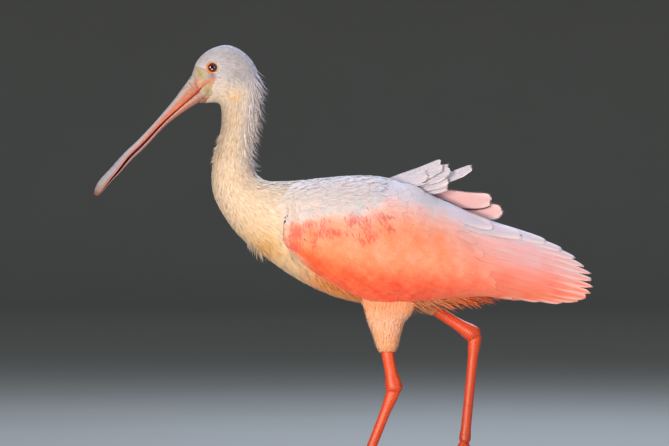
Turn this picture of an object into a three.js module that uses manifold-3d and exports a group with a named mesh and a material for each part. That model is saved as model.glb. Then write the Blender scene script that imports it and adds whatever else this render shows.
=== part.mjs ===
// Roseate spoonbill, a young bird wading in mid stride, life size, in millimetres.
// +Z is up, the bill points to -X, and the bird's left side is -Y. The floor under both feet is z = 0.
import * as THREE from "three";
import { mergeVertices } from "three/addons/utils/BufferGeometryUtils.js";
import Module from "manifold-3d";

const wasm = await Module();
wasm.setup();

// Driving sizes
const GAP = 0.3; // clearance between neighbouring pieces
const ROOM = GAP + 0.05; // how much larger than a piece the cut round it is
const CUT = 0.25; // how far a cut reaches past the middle of a joint's gap
const SLIVER = 0.06; // details finer than this are welded away
const LEFT = -1;
const RIGHT = 1;
const HEAD_TURN = THREE.MathUtils.degToRad(15); // the bill swings towards the bird's left
const NECK_AXIS_X = -107; // the head turns about this upright line
const EYE = { x: -140.4, y: 9.1, z: 451.5, radius: 7.5 };
const LID = { radius: 5.9, thick: 1.1, out: 5 }; // out is how far the ring of lids is from the eye's centre
const LOCK_SINK = 2.2; // how deep a nape lock's root lies in the flesh
const MOUTH = { bill: [-166, 423.5], gape: [-145.1, 434.6], sag: 3, half: 0.35 }; // the mouth's groove
const NOSTRIL = { at: [-162.5, 6.4, 434.6], size: [4.2, 0.9, 1.1], slope: -0.86 };
const BODY_AROUND = 24; // facets round the body
const SHANK = { depth: 6.5, width: 5.2, hockDepth: 9, hockWidth: 7.6 };
const TARSUS = { depth: 5.4, width: 4.6 };
const FOOT_RISE = 7; // height of the toes' root over the floor
const CLAW = { reach: 8, root: 2, droop: 1.5, arch: 0.5 };
const KNUCKLE = 6; // radius of the ball where the toes meet
const WEB = { start: 0.04, middle: 0.3, side: 0.12, half: 0.6 }; // shares of the toes' length
const VANE = 0.7; // thickness of a large feather's vane
const VANE_SINK = 3.4; // how deep a vane's root lies under the wing's face
const SHELL = { sink: 1.6, thick: 5, rear: 4, end: 0.7 }; // the wing's arm, under its feathers, up to u = end

// Colours of the photographed bird
const COLOURS = {
  cream: 0xf0dccb,
  pink: 0xf7a58c,
  shell: 0xf6c9c2,
  bill: 0xd99a85,
  leg: 0xe2502c,
  claw: 0x3a2d2a,
  eye: 0x5a0d12,
};
const root = new THREE.Group();
const v3 = (x, y, z) => new THREE.Vector3(x, y, z);

// Smooth reading of a list of [place, value] pairs at a place.
function graph(pairs) {
  const slope = pairs.map(([x, y], i) => {
    const [x0, y0] = pairs[Math.max(i - 1, 0)];
    const [x1, y1] = pairs[Math.min(i + 1, pairs.length - 1)];
    return (y1 - y0) / (x1 - x0);
  });
  return (x) => {
    const last = pairs.length - 2;
    const i = Math.min(Math.max(pairs.findIndex(([at]) => at > x) - 1, 0), last);
    const seg = x >= pairs[pairs.length - 1][0] ? last : i;
    const [x0, y0] = pairs[seg];
    const [x1, y1] = pairs[seg + 1];
    const w = x1 - x0;
    const t = THREE.MathUtils.clamp((x - x0) / w, 0, 1);
    const h = t * t * (3 - 2 * t);
    const bend = t * (1 - t) * w;
    return y0 + (y1 - y0) * h + bend * ((1 - t) * slope[seg] - t * slope[seg + 1]);
  };
}

// Solids
// Moves each vertex of a plain geometry with place, welds it, and makes a solid that faces out.
function solid(geometry, place) {
  const at = geometry.attributes.position;
  for (let i = 0; i < at.count; i++) {
    const p = place ? place(at.getX(i), at.getY(i), at.getZ(i)) : v3().fromBufferAttribute(at, i);
    at.setXYZ(i, p.x, p.y, p.z);
  }
  geometry.deleteAttribute("normal");
  geometry.deleteAttribute("uv");
  const welded = mergeVertices(geometry, 1e-4);
  const vertProperties = welded.attributes.position.array;
  const build = (triVerts) => new wasm.Manifold(new wasm.Mesh({ numProp: 3, vertProperties, triVerts }));
  const tris = new Uint32Array(welded.index.array);
  const made = build(tris);
  if (made.volume() > 0) return made;
  for (let i = 0; i < tris.length; i += 3) [tris[i + 1], tris[i + 2]] = [tris[i + 2], tris[i + 1]];
  return build(tris);
}

// A closed tube: place(along, angle, ring) gives a point. ring is 0 at an end's middle and 1 on the wall.
function tube(around, rows, place) {
  return solid(new THREE.CylinderGeometry(1, 1, 1, around, rows), (x, y, z) => {
    const ring = Math.hypot(x, z) < 0.5 ? 0 : 1;
    return place(0.5 - y, Math.atan2(z, x), ring);
  });
}

// A thin plate over a grid, with the same triangles on both faces: place(along, across, side), side 1 or -1.
function plate(long, wide, place) {
  const grid = new THREE.PlaneGeometry(1, 1, wide, long);
  const n = grid.attributes.position.count;
  const row = wide + 1;
  const points = [];
  for (const side of [1, -1]) {
    for (let i = 0; i < n; i++) {
      const p = place(0.5 - grid.attributes.position.getY(i), grid.attributes.position.getX(i) * 2, side);
      points.push(p.x, p.y, p.z);
    }
  }
  const index = [];
  const face = grid.index.array;
  for (let i = 0; i < face.length; i += 3) {
    index.push(face[i], face[i + 1], face[i + 2], face[i] + n, face[i + 2] + n, face[i + 1] + n);
  }
  const rim = [];
  for (let i = 0; i < wide; i++) rim.push(i);
  for (let j = 0; j < long; j++) rim.push(j * row + wide);
  for (let i = wide; i > 0; i--) rim.push(long * row + i);
  for (let j = long; j > 0; j--) rim.push(j * row);
  rim.forEach((a, i) => {
    const b = rim[(i + 1) % rim.length];
    index.push(a, b, a + n, b, b + n, a + n);
  });
  const geometry = new THREE.BufferGeometry();
  geometry.setAttribute("position", new THREE.Float32BufferAttribute(points, 3));
  geometry.setIndex(index);
  return solid(geometry);
}

const ball = (centre, radius, wide = 14, high = 10) =>
  solid(new THREE.SphereGeometry(radius, wide, high).translate(centre.x, centre.y, centre.z));

function largest(manifold) {
  return manifold.decompose().reduce((a, b) => (b.volume() > a.volume() ? b : a));
}

function joined(pieces) {
  return wasm.Manifold.union(pieces);
}

// Everything on one side of a plane, as a big block.
function block(low, high) {
  const box = new THREE.BoxGeometry(high.x - low.x, high.y - low.y, high.z - low.z);
  return solid(box.translate((low.x + high.x) / 2, (low.y + high.y) / 2, (low.z + high.z) / 2));
}
const ABOVE_FLOOR = block(v3(-500, -300, 0), v3(500, 300, 600));
const sideOf = (side) => block(v3(-500, side < 0 ? -300 : GAP, -50), v3(500, side < 0 ? -GAP : 300, 600));

// Adds a node: the largest closed surface of the solid.
function node(name, colour, manifold, rough = 0.8) {
  const mesh = largest(manifold).simplify(SLIVER).getMesh();
  const points = new Float32Array(mesh.numVert * 3);
  for (let i = 0; i < mesh.numVert; i++) {
    points.set(mesh.vertProperties.subarray(i * mesh.numProp, i * mesh.numProp + 3), i * 3);
  }
  const geometry = new THREE.BufferGeometry();
  geometry.setAttribute("position", new THREE.BufferAttribute(points, 3));
  geometry.setIndex(new THREE.BufferAttribute(new Uint32Array(mesh.triVerts), 1));
  const material = new THREE.MeshStandardMaterial({ color: colour, roughness: rough, metalness: 0 });
  const made = new THREE.Mesh(geometry, material);
  made.name = name;
  root.add(made);
  return made;
}

// Body
// Ribs from the face to the vent: the point under the throat or belly, the point on the back, half the width.
const RIBS = [
  { belly: [-151, 414.8], back: [-159.5, 444], half: 10.2 },
  { belly: [-144.6, 415], back: [-154.4, 457.3], half: 13.1 },
  { belly: [-138.1, 415.5], back: [-145.7, 467.2], half: 16.3 },
  { belly: [-132.1, 415.3], back: [-133.7, 473.6], half: 17.6 },
  { belly: [-129.1, 413.7], back: [-120.7, 475.7], half: 18.4 },
  { belly: [-127.8, 411.1], back: [-107.6, 470.9], half: 18.5 },
  { belly: [-127.1, 407.4], back: [-95.7, 460.4], half: 18.9 },
  { belly: [-126.9, 402.7], back: [-88.3, 445.7], half: 19.7 },
  { belly: [-126.9, 396.4], back: [-85.8, 426.8], half: 20.3 },
  { belly: [-127.6, 388], back: [-87.6, 405.8], half: 20.5 },
  { belly: [-130.2, 376.4], back: [-90.6, 384.8], half: 20.3 },
  { belly: [-134.4, 362.8], back: [-94, 365.9], half: 20.5 },
  { belly: [-137, 348.1], back: [-94.5, 352.3], half: 21.5 },
  { belly: [-137.6, 333.4], back: [-90.8, 341.8], half: 24.2 },
  { belly: [-134.9, 316.6], back: [-81.4, 334.4], half: 29.4 },
  { belly: [-124.4, 296.6], back: [-64.6, 332.9], half: 35.5 },
  { belly: [-107.6, 274.6], back: [-42.5, 334.4], half: 41 },
  { belly: [-80.3, 252.5], back: [-13.1, 336], half: 46 },
  { belly: [-44.6, 228.4], back: [18.4, 336], half: 48.5 },
  { belly: [-7.9, 211.6], back: [47.8, 333.4], half: 48.5 },
  { belly: [31, 203.2], back: [73, 326], half: 45.5 },
  { belly: [70.9, 200.6], back: [96.1, 315.5], half: 40 },
  { belly: [105.5, 202.1], back: [119.2, 302.9], half: 33 },
  { belly: [134.9, 205.3], back: [141.2, 288.2], half: 25 },
  { belly: [158, 212.1], back: [159.1, 273.5], half: 18.5 },
  { belly: [174.8, 222.1], back: [172.7, 260.9], half: 13.7 },
];
const SPANS = RIBS.length - 1;
const bellyLine = new THREE.CatmullRomCurve3(RIBS.map((r) => v3(r.belly[0], r.half, r.belly[1])));
const backLine = new THREE.CatmullRomCurve3(RIBS.map((r) => v3(r.back[0], r.half, r.back[1])));
const PINCH = 0.14; // how much the upper flanks narrow under the folded wings
const HEAD_WHOLE = 6; // ribs before this one turn with the head
const NECK_STILL = 10; // ribs from this one on don't turn

const upright = new THREE.Vector3(0, 0, 1);
// Turns a point of the head about the neck's upright line, fully or by a share.
function turned(point, share = 1) {
  const axis = v3(NECK_AXIS_X, 0, 0);
  return point.sub(axis).applyAxisAngle(upright, HEAD_TURN * share).add(axis);
}

// A point of the flesh: rib is a place along RIBS, angle 0 on the back, and grow adds to the radius.
function flesh(rib, angle, ring = 1, grow = 0) {
  const t = THREE.MathUtils.clamp(rib / SPANS, 0, 1);
  const belly = bellyLine.getPoint(t);
  const back = backLine.getPoint(t);
  const half = belly.y;
  const middle = v3((belly.x + back.x) / 2, 0, (belly.z + back.z) / 2);
  const reach = v3(back.x - belly.x, 0, back.z - belly.z).multiplyScalar(0.5);
  const size = reach.length();
  const point = middle.add(reach.multiplyScalar((Math.cos(angle) * ring * (size + grow)) / size));
  const pinch = 1 - PINCH * Math.max(Math.cos(angle), 0) * THREE.MathUtils.smoothstep(rib, 14.5, 17);
  point.y = Math.sin(angle) * ring * (half * pinch + grow);
  const share = 1 - THREE.MathUtils.smoothstep(rib, HEAD_WHOLE, NECK_STILL);
  return turned(point, share);
}

// The stretch of flesh between two ribs, its ends moved in by trim along the body.
function stretchOf(from, to, rows, { trim = GAP / 2, grow = 0, around = BODY_AROUND } = {}) {
  return tube(around, rows, (along, angle, ring) => {
    const rib = from + (to - from) * along;
    const point = flesh(rib, angle, ring, grow);
    const end = along === 0 ? 1 : along === 1 ? -1 : 0;
    if (!end) return point;
    const middle = flesh(rib, 0, 0);
    const next = flesh(rib + end * 0.05, 0, 0);
    return point.add(next.sub(middle).normalize().multiplyScalar(trim));
  });
}
const fleshGrown = stretchOf(0, SPANS, 64, { trim: -GAP, grow: ROOM });

function fleshNormal(rib, angle) {
  const here = flesh(rib, angle);
  const along = flesh(rib + 0.1, angle).sub(here);
  const across = flesh(rib, angle + 0.05).sub(here);
  const normal = along.cross(across).normalize();
  const outward = here.clone().sub(flesh(rib, angle, 0));
  return normal.dot(outward) < 0 ? normal.negate() : normal;
}

// A flat, tapered lock of plumage on the flesh, its root sunk in and its tip lifted, lying towards the tail.
function lock(rib, angle, length, width, lift) {
  const base = flesh(rib, angle);
  const out = fleshNormal(rib, angle);
  const lie = flesh(Math.min(rib + 0.5, SPANS), angle).sub(base).normalize();
  const aside = lie.clone().cross(out).normalize();
  return plate(3, 1, (along, across, side) => {
    const taper = [1, 0.95, 0.7, 0.12][Math.round(along * 3)];
    const thick = [1.4, 1.1, 0.9, 0.5][Math.round(along * 3)];
    return base
      .clone()
      .addScaledVector(lie, (along - 0.25) * length)
      .addScaledVector(out, -LOCK_SINK + along * (LOCK_SINK + lift) + (side * thick) / 2)
      .addScaledVector(aside, (across * taper * width) / 2);
  });
}

// Head
const HEAD_END = 8.5;
const NECK_MIDDLE = 11.75;
const NECK_END = 14.5;
const eyePoint = (side, out = 0) => turned(v3(EYE.x, side * (EYE.y + out), EYE.z));

function lidRing(side) {
  const ring = new THREE.TorusGeometry(LID.radius, LID.thick, 6, 16);
  ring.rotateX(Math.PI / 2).rotateZ(HEAD_TURN);
  const at = eyePoint(side, LID.out);
  return solid(ring.translate(at.x, at.y, at.z));
}

// The groove that carries the line of the mouth back from the bill to the gape.
function mouthGroove(side) {
  return plate(4, 1, (along, across, face) => {
    const x = THREE.MathUtils.lerp(MOUTH.bill[0], MOUTH.gape[0], along);
    const z = THREE.MathUtils.lerp(MOUTH.bill[1], MOUTH.gape[1], along) - MOUTH.sag * along * (1 - along);
    return turned(v3(x, side * (13 + across * 6), z + face * MOUTH.half));
  });
}

function headSolid() {
  const skull = stretchOf(0, HEAD_END, 15);
  let head = joined([skull, lidRing(LEFT), lidRing(RIGHT)]);
  for (const side of [LEFT, RIGHT]) {
    head = head.subtract(ball(eyePoint(side), EYE.radius + GAP));
    head = head.subtract(mouthGroove(side));
  }
  return head;
}

// Bill
// The mouth line from the face to the tip, before the head turns. The graphs read shares of its length, and
// billOpen is half the slit between the mandibles.
const BILL_LINE = [
  [-146, 433.8],
  [-158.5, 423],
  [-171.8, 411.5],
  [-190.5, 394.6],
  [-213.9, 370.6],
  [-227.2, 358.6],
  [-240, 344.8],
  [-252.9, 331],
  [-261.5, 317.8],
];
const billLine = new THREE.CatmullRomCurve3(BILL_LINE.map(([x, z]) => v3(x, 0, z)));
const billHalf = graph([[0, 11], [0.1, 10.2], [0.22, 8.4], [0.38, 6.9], [0.5, 7], [0.6, 8.2], [0.7, 12.2],
  [0.78, 18], [0.85, 22.4], [0.9, 23.4], [0.94, 21.2], [0.975, 15.5], [0.99, 10.5], [1, 4]]);
const billRise = graph([[0, 17], [0.1, 13.2], [0.22, 8.8], [0.38, 5.2], [0.58, 4.4], [0.8, 3.6], [0.95, 3.2],
  [1, 1.8]]);
const billDrop = graph([[0, 13], [0.1, 9.5], [0.22, 6.2], [0.38, 3.6], [0.58, 3.3], [0.8, 3], [0.95, 2.2],
  [1, 1.4]]);
const billOpen = graph([[0, 0.2], [0.22, 0.35], [0.4, 0.9], [0.6, 1.3], [0.8, 1.1], [1, 0.25]]);
const LOWER_SHARE = 0.94; // the lower mandible is this much as wide as the upper one

// One mandible: up is 1 for the upper one and -1 for the lower.
function mandible(up) {
  const depth = up > 0 ? billRise : billDrop;
  return tube(16, 22, (along, angle, ring) => {
    const at = billLine.getPointAt(along);
    const ahead = billLine.getTangentAt(along);
    const normal = v3(ahead.z, 0, -ahead.x).multiplyScalar(up);
    const curve = Math.max(Math.sin(angle), 0) * ring;
    at.addScaledVector(normal, billOpen(along) + curve * depth(along));
    at.y = Math.cos(angle) * ring * billHalf(along) * (up > 0 ? 1 : LOWER_SHARE);
    return turned(at);
  });
}

function nostril(side) {
  const slit = new THREE.SphereGeometry(1, 10, 8).scale(...NOSTRIL.size).rotateY(NOSTRIL.slope);
  const [x, y, z] = NOSTRIL.at;
  const at = turned(v3(x, side * y, z));
  return solid(slit.rotateZ(HEAD_TURN).translate(at.x, at.y, at.z));
}

// Wings
// The folded wing's outer face hangs between three lines: its upper edge, its widest line and its lower edge.
const WING_LINES = [
  [[-59.3, 46, 286.1], [-59.8, 48, 284], [-59.3, 47, 279.8]],
  [[-56.2, 46, 305], [-60.5, 51, 279.8], [-57, 46, 265]],
  [[-42.5, 39, 319], [-48, 56, 276.7], [-42, 44.5, 249]],
  [[-13.1, 29, 329.5], [-18.4, 61, 273.5], [-13.1, 41.5, 230]],
  [[26.8, 19, 333.5], [23.6, 62.5, 268.3], [24.7, 34, 213]],
  [[65.6, 15, 327], [63.5, 60, 264.1], [63.5, 30, 210]],
  [[104.5, 11, 311.5], [102.4, 52.5, 255.7], [102.4, 28, 210]],
  [[144.4, 8, 293.5], [144.4, 43, 246.2], [144.4, 27, 212]],
  [[184.3, 6, 280.9], [186.4, 33, 239.9], [186.4, 25, 208.5]],
  [[224.2, 4, 268.3], [224.2, 25.5, 234.7], [224.2, 22, 204.5]],
  [[262, 2.5, 252], [262, 20.5, 228], [262, 19, 204.5]],
];
const wingEdges = [0, 1, 2].map((k) => new THREE.CatmullRomCurve3(WING_LINES.map((line) => v3(...line[k]))));

// A point of the outer face: u runs from the shoulder to the wing tip and v from the upper edge down.
function wingFace(side, u, v) {
  const [top, mid, low] = wingEdges.map((edge) => edge.getPoint(THREE.MathUtils.clamp(u, 0, 1)));
  const a = (1 - v) * (1 - 2 * v);
  const b = 4 * v * (1 - v);
  const c = v * (2 * v - 1);
  const p = top.multiplyScalar(a).addScaledVector(mid, b).addScaledVector(low, c);
  return v3(p.x, p.y * side, p.z);
}

// The outer face moved out by a distance, or in where it is negative.
function wingPoint(side, u, v, out) {
  const e = 0.01;
  const here = wingFace(side, u, v);
  const uStep = u > 0.5 ? here.clone().sub(wingFace(side, u - e, v)) : wingFace(side, u + e, v).sub(here);
  const vStep = v > 0.5 ? here.clone().sub(wingFace(side, u, v - e)) : wingFace(side, u, v + e).sub(here);
  const normal = uStep.cross(vStep).normalize();
  if (normal.y * side < 0) normal.negate();
  return here.addScaledVector(normal, out);
}
const wingDepth = (u) => wingFace(LEFT, u, 0).distanceTo(wingFace(LEFT, u, 0.5)) * 2;

// A vane over the wing: it leaves the shell at its root and rides out to lift at its tip. Its lower edge
// stands higher by tilt, so that each vane overlies the next one down, and raise lifts its tip off the bird.
const LONG_VANE = [
  [0, 0.5],
  [0.35, 0.95],
  [0.72, 1],
  [0.92, 0.84],
  [1, 0.42],
];
const COVERT_VANE = [
  [0, 0.6],
  [0.5, 1],
  [0.86, 0.9],
  [1, 0.45],
];
function wingVane(side, from, to, width, lift, { tilt = 0.1, raise = 0, shape = LONG_VANE } = {}) {
  const depth = wingDepth((from[0] + to[0]) / 2);
  return plate(shape.length - 1, 1, (along, across, face) => {
    const [t, fullness] = shape[Math.round(along * (shape.length - 1))];
    const u = THREE.MathUtils.lerp(from[0], to[0], t);
    const middle = THREE.MathUtils.lerp(from[1], to[1], t);
    const s = (across * fullness * width) / 2;
    const rise = shape === COVERT_VANE ? t * (2 - t) : t;
    const out = THREE.MathUtils.lerp(-VANE_SINK, lift, rise) + s * tilt + (face * VANE) / 2;
    const point = wingPoint(side, u, THREE.MathUtils.clamp(middle + s / depth, -0.03, 1.02), out);
    point.z += raise * t * t;
    return point;
  });
}

// Flight feathers, from the uppermost tertial down to the lowest primary. Each lies under the one above it.
const TERTIALS = {
  [LEFT]: [
    { from: [0.4, 0.1], to: [0.735, 0.03], width: 22 },
    { from: [0.42, 0.17], to: [0.81, 0.04], width: 22 },
  ],
  [RIGHT]: [
    { from: [0.45, 0.05], to: [0.735, -0.02], width: 15, raise: 23, tilt: -0.8 },
    { from: [0.46, 0.09], to: [0.764, 0.02], width: 16, raise: 18, tilt: -0.8 },
    { from: [0.47, 0.13], to: [0.742, 0.05], width: 13, raise: 14, tilt: -0.8 },
  ],
};
const FLIGHT = [
  { from: [0.44, 0.25], to: [0.875, 0.05], width: 22 },
  { from: [0.46, 0.33], to: [0.94, 0.06], width: 21 },
  { from: [0.48, 0.42], to: [0.975, 0.15], width: 20 },
  { from: [0.5, 0.52], to: [0.995, 0.31], width: 19 },
  { from: [0.52, 0.62], to: [1, 0.5], width: 18 },
  { from: [0.53, 0.72], to: [0.992, 0.69], width: 18 },
  { from: [0.54, 0.82], to: [0.97, 0.85], width: 17 },
  { from: [0.55, 0.91], to: [0.93, 0.94], width: 15 },
];
// How far each one's tip rides over the wing's face, counted from the uppermost.
const flightLift = (i) => 1.4 - 1.4 * Math.min(i, 3) - 0.8 * Math.max(i - 3, 0);
const COVERT_TIERS = [
  { count: 6, u: [0.52, 0.64], length: 0.2, width: 25, lift: 1.6 },
  { count: 6, u: [0.35, 0.48], length: 0.18, width: 26, lift: 2.3 },
  { count: 5, u: [0.22, 0.34], length: 0.16, width: 30, lift: 2.8 },
  { count: 4, u: [0.18, 0.225], length: 0.13, width: 29, lift: 3.2 },
];
const COVERT_STEP = 0.4; // how much deeper each next covert of a tier lies

function wingShell(side) {
  return plate(13, 6, (along, across, face) => {
    const thin = THREE.MathUtils.smoothstep(along, 0.65, 1);
    const inner = THREE.MathUtils.lerp(SHELL.thick, SHELL.rear, thin) + SHELL.sink;
    return wingPoint(side, along * SHELL.end, (across + 1) / 2, face > 0 ? -SHELL.sink : -inner);
  });
}

function wingFeathers(side) {
  const flight = [...TERTIALS[side], ...FLIGHT].map(({ from, to, width, raise, tilt }, i) =>
    wingVane(side, from, to, width, flightLift(i), { raise, tilt })
  );
  const coverts = COVERT_TIERS.flatMap((tier) =>
    Array.from({ length: tier.count }, (_, i) => {
      const k = i / (tier.count - 1);
      const u = THREE.MathUtils.lerp(tier.u[1], tier.u[0], (k < 0.5 ? 4 : 1.2) * (k - 0.5) * (k - 0.5));
      const v = 0.1 + 0.8 * k;
      const lift = tier.lift - COVERT_STEP * i;
      const shape = COVERT_VANE;
      return wingVane(side, [u - tier.length, v - 0.02], [u, v], tier.width, lift, { tilt: 0.07, shape });
    })
  );
  return [...flight, ...coverts];
}

function wingSolid(side, thigh) {
  const whole = joined([wingShell(side), ...wingFeathers(side)]);
  return whole.subtract(fleshGrown).subtract(thigh).subtract(mantle(ROOM)).intersect(sideOf(side));
}

// Limbs
// A limb along a path, with its depth and width at shares of its length. It grows at ends and sides alike.
function limb(points, depth, width, { around = 10, rows = 10, grow = 0 } = {}) {
  const path = new THREE.CatmullRomCurve3(points.map((p) => v3(...p)));
  const deep = graph(depth);
  const wide = graph(width);
  return tube(around, rows, (along, angle, ring) => {
    const at = path.getPointAt(along);
    const ahead = path.getTangentAt(along);
    const end = along === 0 ? -1 : along === 1 ? 1 : 0;
    const aside = v3(0, 1, 0).addScaledVector(ahead, -ahead.y).normalize();
    const front = aside.clone().cross(ahead).normalize();
    return at
      .addScaledVector(ahead, end * grow)
      .addScaledVector(front, Math.cos(angle) * ring * (deep(along) + grow))
      .addScaledVector(aside, Math.sin(angle) * ring * (wide(along) + grow));
  });
}

const NEAR = {
  hock: [54, -26, 116],
  foot: [11, -26, FOOT_RISE],
  thigh: [[48, -12, 245], [47.7, -15, 205], [45.7, -20, 187], [46.2, -23.5, 172], [46.8, -26, 154]],
  thighDepth: [[0, 38], [0.44, 28.5], [0.64, 20], [0.8, 14.8], [0.94, 11], [1, 7.5]],
  thighWidth: [[0, 10], [0.4, 11], [0.6, 13], [0.8, 12], [0.94, 9.5], [1, 6.5]],
};
const FAR = {
  hock: [140.2, 27, 170.6],
  foot: [129, 27, 56.5],
  thigh: [[40, 12, 245], [68, 16, 222], [84, 20, 209], [98.5, 25, 197.5]],
  thighDepth: [[0, 26], [0.45, 18], [0.72, 12], [0.94, 8.6], [1, 7.2]],
  thighWidth: [[0, 10], [0.45, 11], [0.72, 10], [0.94, 8], [1, 6.4]],
};
const thighOf = (leg, grow = 0) =>
  limb(leg.thigh, leg.thighDepth, leg.thighWidth, { around: 18, rows: 9, grow });

function shankOf(leg, grow = 0) {
  const knee = leg.thigh[leg.thigh.length - 2];
  const end = leg.thigh[leg.thigh.length - 1];
  const swelling = (plain, hock) => [[0, plain], [0.55, plain], [0.86, hock], [0.97, hock * 0.75], [1, 3]];
  const depth = swelling(SHANK.depth, SHANK.hockDepth);
  const width = swelling(SHANK.width, SHANK.hockWidth);
  const beyond = v3(...leg.hock).sub(v3(...end)).normalize().multiplyScalar(5).add(v3(...leg.hock));
  const inside = v3(...end).lerp(v3(...knee), 0.35);
  return limb([inside.toArray(), end, leg.hock, beyond.toArray()], depth, width, { rows: 13, grow });
}

function tarsusOf(leg, grow = 0) {
  const depth = [[0, 7.2], [0.1, 6.6], [0.22, TARSUS.depth], [0.85, TARSUS.depth], [0.96, 6.2], [1, 4.5]];
  const width = [[0, 5.6], [0.1, 5.4], [0.22, TARSUS.width], [0.85, TARSUS.width], [0.96, 6.4], [1, 5]];
  return limb([leg.hock, leg.foot], depth, width, { rows: 12, grow });
}

// Toes: three forward and one behind. Each path ends at the claw's root.
const TOE_RADIUS = [[0, 5], [0.2, 4.3], [0.5, 3.7], [0.8, 3.2], [1, 2.7]];
const NEAR_TOES = {
  inner: { turn: 27, length: 52 },
  middle: { turn: 0, length: 72 },
  outer: { turn: -27, length: 60 },
  hind: { turn: 172, length: 24 },
};

function nearToePath({ turn, length }) {
  const angle = THREE.MathUtils.degToRad(turn);
  const [x, y, z] = NEAR.foot;
  const away = (d, height) => [x - Math.cos(angle) * d, y + Math.sin(angle) * d, height];
  return [[x, y, z], away(length * 0.33, 4.6), away(length * 0.66, 3.4), away(length, 2.3)];
}

// The trailing foot stands on its toe tips: each toe falls from the raised root and lies flat at its end.
const FAR_TOES = {
  inner: { aside: -15, reach: 44 },
  middle: { aside: 0, reach: 57 },
  outer: { aside: 15, reach: 47 },
};
function farToePath({ aside, reach }) {
  const [x, y, z] = FAR.foot;
  const point = (share, height) => [x - reach * share, y + aside * Math.sqrt(share), height];
  return [[x, y, z], point(0.26, z * 0.62), point(0.52, z * 0.27), point(0.76, 4), point(1, 2.4)];
}
const farHindPath = [FAR.foot, [136, 28, 46], [140, 28, 34]];

function toe(path, thick = 1, grow = 0) {
  const sizes = TOE_RADIUS.map(([t, r]) => [t, r * thick]);
  return limb(path, sizes, sizes, { around: 8, rows: 6, grow });
}

// The web between two neighbouring toes, over the first part of their length.
function web(pathA, pathB) {
  const a = new THREE.CatmullRomCurve3(pathA.map((p) => v3(...p)));
  const b = new THREE.CatmullRomCurve3(pathB.map((p) => v3(...p)));
  return plate(3, 2, (along, across, face) => {
    const t = WEB.start + along * (WEB.middle + WEB.side * across * across);
    const p = a.getPointAt(t).lerp(b.getPointAt(t), (across + 1) / 2);
    p.z += (face - 1) * WEB.half;
    return p;
  });
}

function claw(path) {
  const line = new THREE.CatmullRomCurve3(path.map((p) => v3(...p)));
  const at = line.getPointAt(1);
  const ahead = line.getTangentAt(1);
  const tip = at.clone().addScaledVector(ahead, CLAW.reach);
  tip.z = Math.max(tip.z - CLAW.droop, GAP);
  const middle = at.clone().addScaledVector(ahead, CLAW.reach / 2);
  middle.z += CLAW.arch;
  const base = at.clone().addScaledVector(ahead, -CLAW.root);
  const sizes = [[0, 2.4], [0.3, 2.2], [0.7, 1.3], [1, 0.35]];
  return limb([base, at, middle, tip].map((p) => p.toArray()), sizes, sizes, { around: 7, rows: 4 });
}

function buildLeg(name, leg, paths, hindThick) {
  const thighGrown = thighOf(leg, ROOM);
  const shankGrown = shankOf(leg, ROOM);
  const tarsusGrown = tarsusOf(leg, ROOM);
  node(`thigh_${name}`, COLOURS.pink, thighOf(leg).subtract(fleshGrown));
  node(`shank_${name}`, COLOURS.leg, shankOf(leg).subtract(thighGrown), 0.5);
  node(`tarsus_${name}`, COLOURS.leg, tarsusOf(leg).subtract(shankGrown).intersect(ABOVE_FLOOR), 0.5);
  const thickOf = (key) => (key === "hind" ? hindThick : 1);
  const toes = Object.entries(paths).map(([key, path]) => toe(path, thickOf(key)));
  const knuckle = ball(v3(...leg.foot), KNUCKLE, 12, 8);
  const webs = [web(paths.inner, paths.middle), web(paths.middle, paths.outer)];
  const foot = joined([...toes, knuckle, ...webs]).subtract(tarsusGrown).intersect(ABOVE_FLOOR);
  node(`foot_${name}`, COLOURS.leg, foot, 0.5);
  for (const [key, path] of Object.entries(paths)) {
    const grown = toe(path, thickOf(key), GAP);
    node(`claw_${name}_${key}`, COLOURS.claw, claw(path).subtract(grown).intersect(ABOVE_FLOOR), 0.4);
  }
  return thighGrown;
}

// Tail and back
function freeVane(from, to, aside, width, { droop = 0, shape = LONG_VANE, thick = VANE, tilt = 0 } = {}) {
  const start = v3(...from);
  const end = v3(...to);
  const side = v3(...aside).normalize();
  const up = end.clone().sub(start).normalize().cross(side).normalize();
  if (up.z < 0) up.negate();
  return plate(shape.length - 1, 1, (along, across, face) => {
    const [t, fullness] = shape[Math.round(along * (shape.length - 1))];
    const s = (across * fullness * width) / 2;
    return start
      .clone()
      .lerp(end, t)
      .addScaledVector(side, s)
      .addScaledVector(up, (face * thick) / 2 + s * tilt + droop * Math.sin(t * Math.PI));
  });
}

const RECTRICES = 8;
function tailSolid() {
  const base = limb([[160, 0, 240], [182, 0, 236], [200, 0, 231]], [[0, 15], [0.5, 12], [1, 4]],
    [[0, 15], [0.5, 14], [1, 9]], { around: 16, rows: 6 });
  const feathers = [];
  for (let i = 0; i < RECTRICES; i++) {
    const k = (i / (RECTRICES - 1)) * 2 - 1;
    const height = (1 - Math.abs(k)) * 5;
    const from = [182, k * 6.5, 233 + height * 0.4];
    const to = [254 - 7 * k * k, k * 6.5, 212 + height];
    feathers.push(freeVane(from, to, [0, 1, 0], 8, { tilt: -0.14 * Math.sign(k) }));
  }
  return joined([base, ...feathers]).subtract(fleshGrown);
}

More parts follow.
